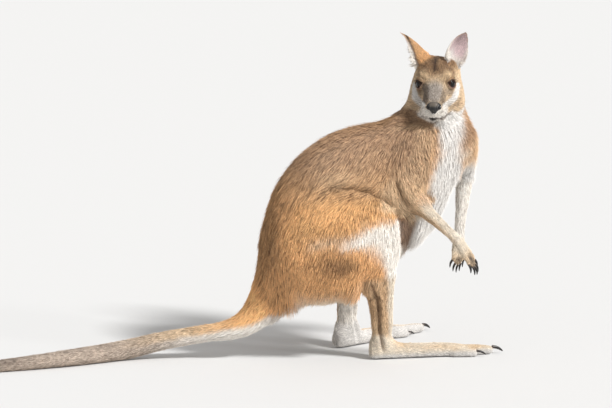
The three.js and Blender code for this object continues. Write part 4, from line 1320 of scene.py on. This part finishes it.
# ---- eyes, nose, claws, whiskers
def turned_grid(rows, columns, place):
    """A closed surface of rings round an axis; place(turn from the axis, angle round it) gives points."""
    turns = np.linspace(0, math.pi, rows + 1)[1:-1]
    angles = np.arange(columns) * 2 * math.pi / columns
    t, a = np.meshgrid(turns, angles, indexing="ij")
    points = [place(np.array([0.0]), np.array([0.0]))[0], *place(t.ravel(), a.ravel())]
    points.append(place(np.array([math.pi]), np.array([0.0]))[0])
    faces = []
    for c in range(columns):
        d = (c + 1) % columns
        faces.append((0, 1 + c, 1 + d))
        for r in range(rows - 2):
            base = 1 + r * columns
            faces.append((base + c, base + columns + c, base + columns + d, base + d))
        base = 1 + (rows - 2) * columns
        faces.append((base + c, len(points) - 1, base + d))
    return np.array(points), faces


def eye(side, material):
    """A dark wet eye with a slightly raised cornea, a brown iris and a black pupil."""
    centre, axis, ahead, above = eye_frame(1 if side == "left" else -1)

    def place(turn, angle):
        radius = EYE_BALL * (1 + 0.045 * np.exp(-((turn / 0.62) ** 4)))
        round_it = np.cos(angle)[:, None] * ahead + np.sin(angle)[:, None] * above
        return centre + radius[:, None] * (np.cos(turn)[:, None] * axis + np.sin(turn)[:, None] * round_it)

    points, faces = turned_grid(40, 64, place)
    ball = mesh_object("eyeball_" + side, from_head(points), faces)
    turn = np.arccos(np.clip(unit(points - centre) @ axis, -1, 1))
    angle = np.arctan2((points - centre) @ above, (points - centre) @ ahead)
    pupil = np.tile(paint("060504"), (len(points), 1))
    iris = paint("2e1a0e") * (1 + 0.35 * np.sin(angle * 23))[:, None]
    tint(ball, layered(pupil, (iris, ramp(turn, 0.36, 0.44)), (paint("0d0807"), ramp(turn, 0.72, 0.84))))
    ball.data.materials.append(material)
    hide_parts("eye_" + side)
    return ball


NOSE_MIDDLE = np.array([128.0, 0, -8.8])  # in the head's frame, in mm
NOSE_WIDE = 12.6  # to each side of its middle
NOSE_TALL = 9.4  # above and below its middle
# A nostril's line, left of and above the middle of the nose, in mm.
NOSTRIL = [(0, 2.6, -4.6), (0, 5.0, -4.8), (0, 7.6, -3.2), (0, 9.4, -0.2), (0, 9.6, 2.8)]


def nose_surface(turn, angle, ahead, behind):
    """Places on the nose before its nostrils are pressed in: a blunt rounded triangle."""
    high = np.clip(np.sin(angle), 0, 1)
    low = np.clip(-np.sin(angle), 0, 1)
    left = NOSE_WIDE * np.sin(turn) * np.cos(angle) * (1 - 0.5 * low**1.3)
    up = NOSE_TALL * np.sin(turn) * np.sin(angle)
    length = np.where(turn < math.pi / 2, ahead - 5 * high * np.sin(turn), behind)
    power = 2.2 + 1.4 * low
    blunt = (np.abs(np.cos(turn)) ** power + np.abs(np.sin(turn)) ** power) ** (-1 / power)
    return np.stack([length * np.cos(turn), left, up], axis=1) * blunt[:, None]


def nose_pad(material):
    """The bare nose: a rounded triangle with two comma-shaped nostrils and a groove between them."""
    corners = on_head(solid("nose")[0])
    ahead = corners[:, 0].max() - NOSE_MIDDLE[0] + 0.6
    behind = NOSE_MIDDLE[0] - corners[:, 0].min() - 0.5

    def place(turn, angle):
        p = nose_surface(turn, angle, ahead, behind)
        d, t = along(mirrored(p, 1) * (0, 1, 1), NOSTRIL)
        front = ramp(np.cos(turn), -0.1, 0.3)
        inward = 3.6 * bell(d, 1.5 + 0.6 * (1 - t)) * front
        rim = 0.8 * bell(d - 3.2, 1.2) * front
        cleft = 1.2 * bell(p[:, 1], 0.9) * ramp(p[:, 2], -1, -4) * front
        normal = unit(p / np.array([ahead, NOSE_WIDE, NOSE_TALL]) ** 2)
        return NOSE_MIDDLE + p + normal * (rim - inward - cleft + 0.12 * grain(p, 0.9, 3))[:, None]

    points, faces = turned_grid(64, 96, place)
    pad = mesh_object("nose_pad", from_head(points), faces)
    p = mirrored(points - NOSE_MIDDLE, 1)
    # painted sheen: the top of the nose pad is greyer, as light on the leather
    top = ramp(p[:, 2], 2.5, 7) * ramp(p[:, 1], 9, 5)
    d = along(p * (0, 1, 1), NOSTRIL)[0]
    black = np.tile(paint("100e0d"), (len(points), 1))
    tint(pad, layered(black, (paint("5f564c"), top), (paint("070606"), ramp(d, 2.8, 1.2))))
    pad.data.materials.append(material)
    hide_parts("nose")
    return pad


def swept(centres, across, out, widths, heights, sides):
    """Rings along a curve, closed at both ends: points and faces."""
    angles = np.arange(sides) * 2 * math.pi / sides
    points = (
        centres[:, None]
        + across[None, None] * (np.cos(angles)[None, :] * widths[:, None])[..., None]
        + out[None, None] * (np.sin(angles)[None, :] * heights[:, None])[..., None]
    ).reshape(-1, 3)
    last = (len(centres) - 1) * sides
    faces = [
        (r + s, r + (s + 1) % sides, r + sides + (s + 1) % sides, r + sides + s)
        for r in range(0, last, sides)
        for s in range(sides)
    ]
    faces.append(tuple(range(sides - 1, -1, -1)))
    faces.append(tuple(range(last, last + sides)))
    return points, faces


CLAW_SIDES = 12
CLAW_WIDTHS = {"hand": 1.3, "foot": 1.0}  # compared with the solid claws


def claw(node, limb, base_width):
    """A curved tapering claw in place of a solid one: points, faces and colours."""
    co = solid(node)[0]
    centre = co.mean(axis=0)
    _, _, axes = np.linalg.svd(co - centre)
    axis = axes[0] if axes[0] @ (centre - middle(limb)) > 0 else -axes[0]
    t = (co - centre) @ axis
    low, high = t.min(), t.max()
    first = co[t <= low + 0.35 * (high - low)]
    tip = co[t >= high - 0.12 * (high - low)].mean(axis=0)
    base = first.mean(axis=0)
    off = first - base
    thick = np.linalg.norm(off - (off @ axis)[:, None] * axis, axis=1).mean()
    base = base - axis * 2.5 * MM  # the claw grows out from under the hair
    down = unit(np.array([0, 0, -1.0]) + axis * axis[2])
    s = np.linspace(0, 1, 15)
    bow = np.linalg.norm(tip - base) * 0.10
    centres = base + s[:, None] * (tip - base) - down * (bow * np.sin(math.pi * s))[:, None]
    size = thick * base_width * np.sqrt(np.clip(1 - s**1.7, 0.004, 1))
    p, f = swept(centres, unit(np.cross(axis, down)), -down, size * 0.82, size * 1.08, CLAW_SIDES)
    p[:, 2] = np.maximum(p[:, 2], 0.2 * MM)
    shade = np.repeat(ramp(s, 0.0, 0.35), CLAW_SIDES)
    return p, f, mix(np.tile(paint("4a3f37"), (len(p), 1)), paint("1b1715"), shade)


def joined(shapes):
    """Points and faces of many small shapes as those of one."""
    faces, count = [], 0
    for p, f, *_ in shapes:
        faces += [tuple(i + count for i in face) for face in f]
        count += len(p)
    return np.concatenate([shape[0] for shape in shapes]), faces


def claws(limb, nodes, base_width, material):
    """The claws of a hand or a foot as one piece."""
    shapes = [claw(node, limb, base_width) for node in nodes]
    piece = mesh_object("claws_" + limb, *joined(shapes))
    tint(piece, np.concatenate([colors for _, _, colors in shapes]))
    piece.data.materials.append(material)
    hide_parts(*nodes)
    return piece


def bristle(points, thick):
    """A tapering hair along a path of points."""
    axis = unit(points[-1] - points[0])
    across = unit(np.cross(axis, [0.3, 0.2, 1.0]))
    out = np.cross(across, axis)
    size = thick * (1 - np.linspace(0, 1, len(points)) ** 1.5 * 0.85)
    return swept(points, across, out, size, size, 4)


def hairs(name, parts, color, material):
    """Many bristles as one piece."""
    points, faces = joined(parts)
    piece = mesh_object(name, points, faces)
    tint(piece, np.tile(paint(color), (len(points), 1)))
    piece.data.materials.append(material)
    return piece


def whiskers(hide, skin_tree, material):
    """Long fine whiskers in rows on the upper lip."""
    rng = np.random.default_rng(7)
    s = np.linspace(0, 1, 8)[:, None]
    droop = np.array([0, 0, -1.0]) - 0.5 * FORWARD
    parts = []
    for side, row, k in itertools.product((1, -1), range(4), range(5)):
        root = from_head([118 - 5.5 * k - 1.5 * row, side * 19, -6 - 3.6 * row])
        way = np.array([0.10 - 0.17 * k, side * 1.0, -0.22 - 0.16 * row])
        heading = unit(way + rng.normal(0, 0.06, 3)) @ HEAD_AXES
        long = (26 + 5 * k + rng.uniform(-4, 4)) * MM
        index = nearest(skin_tree, root[None])[0]
        start = hide.surface.places[index] - hide.normals[index] * 0.5 * MM
        parts.append(bristle(start + heading * long * s + droop * long * 0.16 * s**2, 0.16 * MM))
    return hairs("whiskers", parts, "857768", material)


def lashes(material):
    """Short dark lashes along the upper lids, longest at their outer ends."""
    rng = np.random.default_rng(11)
    s = np.linspace(0, 1, 6)[:, None]
    parts = []
    for side in (1, -1):
        centre, axis, ahead, above = eye_frame(side)
        for share in np.linspace(0.9, -0.9, 26):
            across = LID_HALF_WIDTH * share
            rise = LID_RISE * lid_taper(across) * math.sqrt(1 - share**2) * 1.05
            way = unit(axis * math.cos(across) + ahead * math.sin(across))
            way = unit(way * math.cos(rise) + above * math.sin(rise))
            root = centre + way * (EYE_BALL + 0.7)
            outer = ramp(-across, -0.2, 0.8)
            out = unit(way * 0.8 + above * 0.55 - ahead * (0.25 + 0.5 * outer) + rng.normal(0, 0.07, 3))
            long = 3.2 + 3.6 * outer
            parts.append(bristle(from_head(root + out * long * s - above * 0.22 * long * s**2), 0.16 * MM))
    return hairs("lashes", parts, "140f0d", material)


# ---- materials
def linked_node(tree, kind, output, **sockets):
    """A new node of a material, with its sockets set or linked; returns one of its outputs."""
    node = tree.nodes.new(kind)
    for name, value in sockets.items():
        socket = node.inputs[name.replace("_", " ")]
        if isinstance(value, bpy.types.NodeSocket):
            tree.links.new(value, socket)
        else:
            socket.default_value = value
    return node.outputs[output]


def marked_material(name, settings, scale, low, high, detail=4):
    """A material in each piece's own colours, made darker and lighter between low and high by noise."""
    material = bpy.data.materials.new(name)
    material.use_nodes = True
    tree = material.node_tree
    shader = tree.nodes["Principled BSDF"]
    for socket, value in settings.items():
        shader.inputs[socket].default_value = value
    marking = tree.nodes.new("ShaderNodeAttribute")
    marking.attribute_name = "coat"
    place = linked_node(tree, "ShaderNodeTexCoord", "Object")
    noise = linked_node(tree, "ShaderNodeTexNoise", "Fac", Vector=place, Scale=scale, Detail=detail)
    level = linked_node(
        tree, "ShaderNodeMapRange", "Result", Value=noise, From_Min=0.3, From_Max=0.7, To_Min=low, To_Max=high
    )
    scaled = tree.nodes.new("ShaderNodeVectorMath")
    scaled.operation = "SCALE"
    tree.links.new(marking.outputs["Color"], scaled.inputs[0])
    tree.links.new(level, scaled.inputs["Scale"])
    tree.links.new(scaled.outputs["Vector"], shader.inputs["Base Color"])
    return material, noise, place


def bumped(material, height, distance, strength=1.0):
    """Small relief on a material, from an output of its nodes."""
    tree = material.node_tree
    relief = linked_node(
        tree, "ShaderNodeBump", "Normal", Height=height, Distance=distance, Strength=strength
    )
    tree.links.new(relief, tree.nodes["Principled BSDF"].inputs["Normal"])


def fur_material():
    """Soft fur with a little sheen."""
    settings = {"Roughness": 0.62, "Specular IOR Level": 0.28, "Sheen Weight": 0.10, "Sheen Roughness": 0.45}
    return marked_material("fur", settings, 420, 0.86, 1.12)[0]


def skin_material():
    """Skin and very short fur."""
    settings = {"Roughness": 0.7, "Specular IOR Level": 0.25}
    material, noise, _ = marked_material("short_fur_and_skin", settings, 900, 0.78, 1.1, 6)
    bumped(material, noise, 0.5 * MM)
    return material


def horn_material():
    """Smooth dark horn."""
    settings = {"Roughness": 0.32, "Specular IOR Level": 0.5}
    material, noise, _ = marked_material("claw_horn", settings, 700, 0.8, 1.25, 3)
    bumped(material, noise, 0.08 * MM)
    return material


def nose_material():
    """Moist pebbled skin."""
    settings = {"Roughness": 0.36, "Specular IOR Level": 0.5, "Coat Weight": 0.25, "Coat Roughness": 0.2}
    material, _, place = marked_material("moist_nose", settings, 1200, 0.75, 1.25)
    cells = linked_node(material.node_tree, "ShaderNodeTexVoronoi", "Distance", Vector=place, Scale=1500)
    bumped(material, cells, 0.25 * MM, 0.7)
    return material


def eye_material():
    """The wet surface of the eyes."""
    return marked_material("wet_eye", {"Roughness": 0.06, "Specular IOR Level": 0.28}, 1500, 0.7, 1.3)[0]


# ---- studio and camera
VIEW_AZIMUTH = math.radians(-14)
VIEW_ELEVATION = math.radians(9)
CAMERA_DISTANCE = 5.5
CAMERA_AIM = (-0.0901, 0.2543)  # right of and above the floor between the heels, across the view
LENS = 190.3
LAMPS = (  # name, the way it shines, strength and how wide it is in degrees
    ("key", (-0.49, 0.56, -0.67), 3.5, 10),
    ("fill", (-0.75, 0.60, -0.25), 0.5, 8),
)
FLOOR_RADIUS = 60
FLOOR_SIDES = 96


def camera():
    """A long lens, a little above the animal and a little to its tail's side."""
    back = Vector((
        math.sin(VIEW_AZIMUTH) * math.cos(VIEW_ELEVATION),
        -math.cos(VIEW_AZIMUTH) * math.cos(VIEW_ELEVATION),
        math.sin(VIEW_ELEVATION),
    ))
    right = Vector((math.cos(VIEW_AZIMUTH), math.sin(VIEW_AZIMUTH), 0))
    up = back.cross(right)
    data = bpy.data.cameras.new("camera")
    data.lens = LENS
    data.sensor_width = 36
    data.clip_end = 200
    thing = bpy.data.objects.new("camera", data)
    bpy.context.scene.collection.objects.link(thing)
    stand = Vector(BETWEEN_HEELS) + back * CAMERA_DISTANCE + right * CAMERA_AIM[0] + up * CAMERA_AIM[1]
    turn = Matrix((right, up, back)).transposed().to_4x4()
    thing.matrix_world = Matrix.Translation(stand) @ turn
    bpy.context.scene.camera = thing


def floor():
    """A wide pale round floor."""
    angles = np.arange(FLOOR_SIDES) * 2 * math.pi / FLOOR_SIDES
    ring = [(FLOOR_RADIUS * math.cos(a), FLOOR_RADIUS * math.sin(a), 0) for a in angles]
    thing = mesh_object("floor", ring, [tuple(range(FLOOR_SIDES))])
    material = bpy.data.materials.new("pale_floor")
    material.use_nodes = True
    shader = material.node_tree.nodes["Principled BSDF"]
    shader.inputs["Base Color"].default_value = (0.715, 0.71, 0.70, 1)
    shader.inputs["Roughness"].default_value = 0.9
    thing.data.materials.append(material)


def lights():
    """A soft key and a weak lower fill, from the head's side and the front, and an even surround."""
    world = bpy.data.worlds.new("studio")
    world.use_nodes = True
    world.node_tree.nodes["Background"].inputs["Color"].default_value = (1.0, 1.0, 1.0, 1)
    world.node_tree.nodes["Background"].inputs["Strength"].default_value = 0.50
    bpy.context.scene.world = world
    for name, way, strength, angle in LAMPS:
        data = bpy.data.lights.new(name, "SUN")
        data.energy = strength
        data.angle = math.radians(angle)
        thing = bpy.data.objects.new(name, data)
        bpy.context.scene.collection.objects.link(thing)
        thing.rotation_euler = Vector(way).to_track_quat("-Z", "Y").to_euler()


# ---- the animal
COAT_SHADE = 0.22  # painted shade: how much darker the skin is under the coat than where it is bare


def wallaby():
    """The whole animal: skin, coat, eyes, nose, claws, whiskers and lashes."""
    hide = Hide()
    skin = mesh_object("skin", hide.surface.places, hide.surface.triangles)
    tint(skin, hide.colors * (1 - COAT_SHADE * (1 - hide.bare))[:, None])
    skin.data.materials.append(skin_material())
    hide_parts(*FLESH)
    fur = fur_material()
    horn = horn_material()
    wet = eye_material()
    skin_tree = tree_of(hide.surface.places)
    pieces = [skin, *coat(hide, skin_tree, fur), eye("right", wet), eye("left", wet)]
    pieces.append(nose_pad(nose_material()))
    for side in ("right", "left"):
        hand = [f"claw_hand_{side}_{k}" for k in range(1, 6)]
        foot = [f"claw_{k}_{side}" for k in ("big", "outer", "grooming_1", "grooming_2")]
        pieces.append(claws("hand_" + side, hand, CLAW_WIDTHS["hand"], horn))
        pieces.append(claws("foot_" + side, foot, CLAW_WIDTHS["foot"], horn))
    pieces.append(whiskers(hide, skin_tree, fur))
    pieces.append(lashes(fur))
    for piece in pieces:
        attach(piece, "root")


camera()
floor()
lights()
wallaby()
bpy.context.scene.view_settings.view_transform = "Standard"
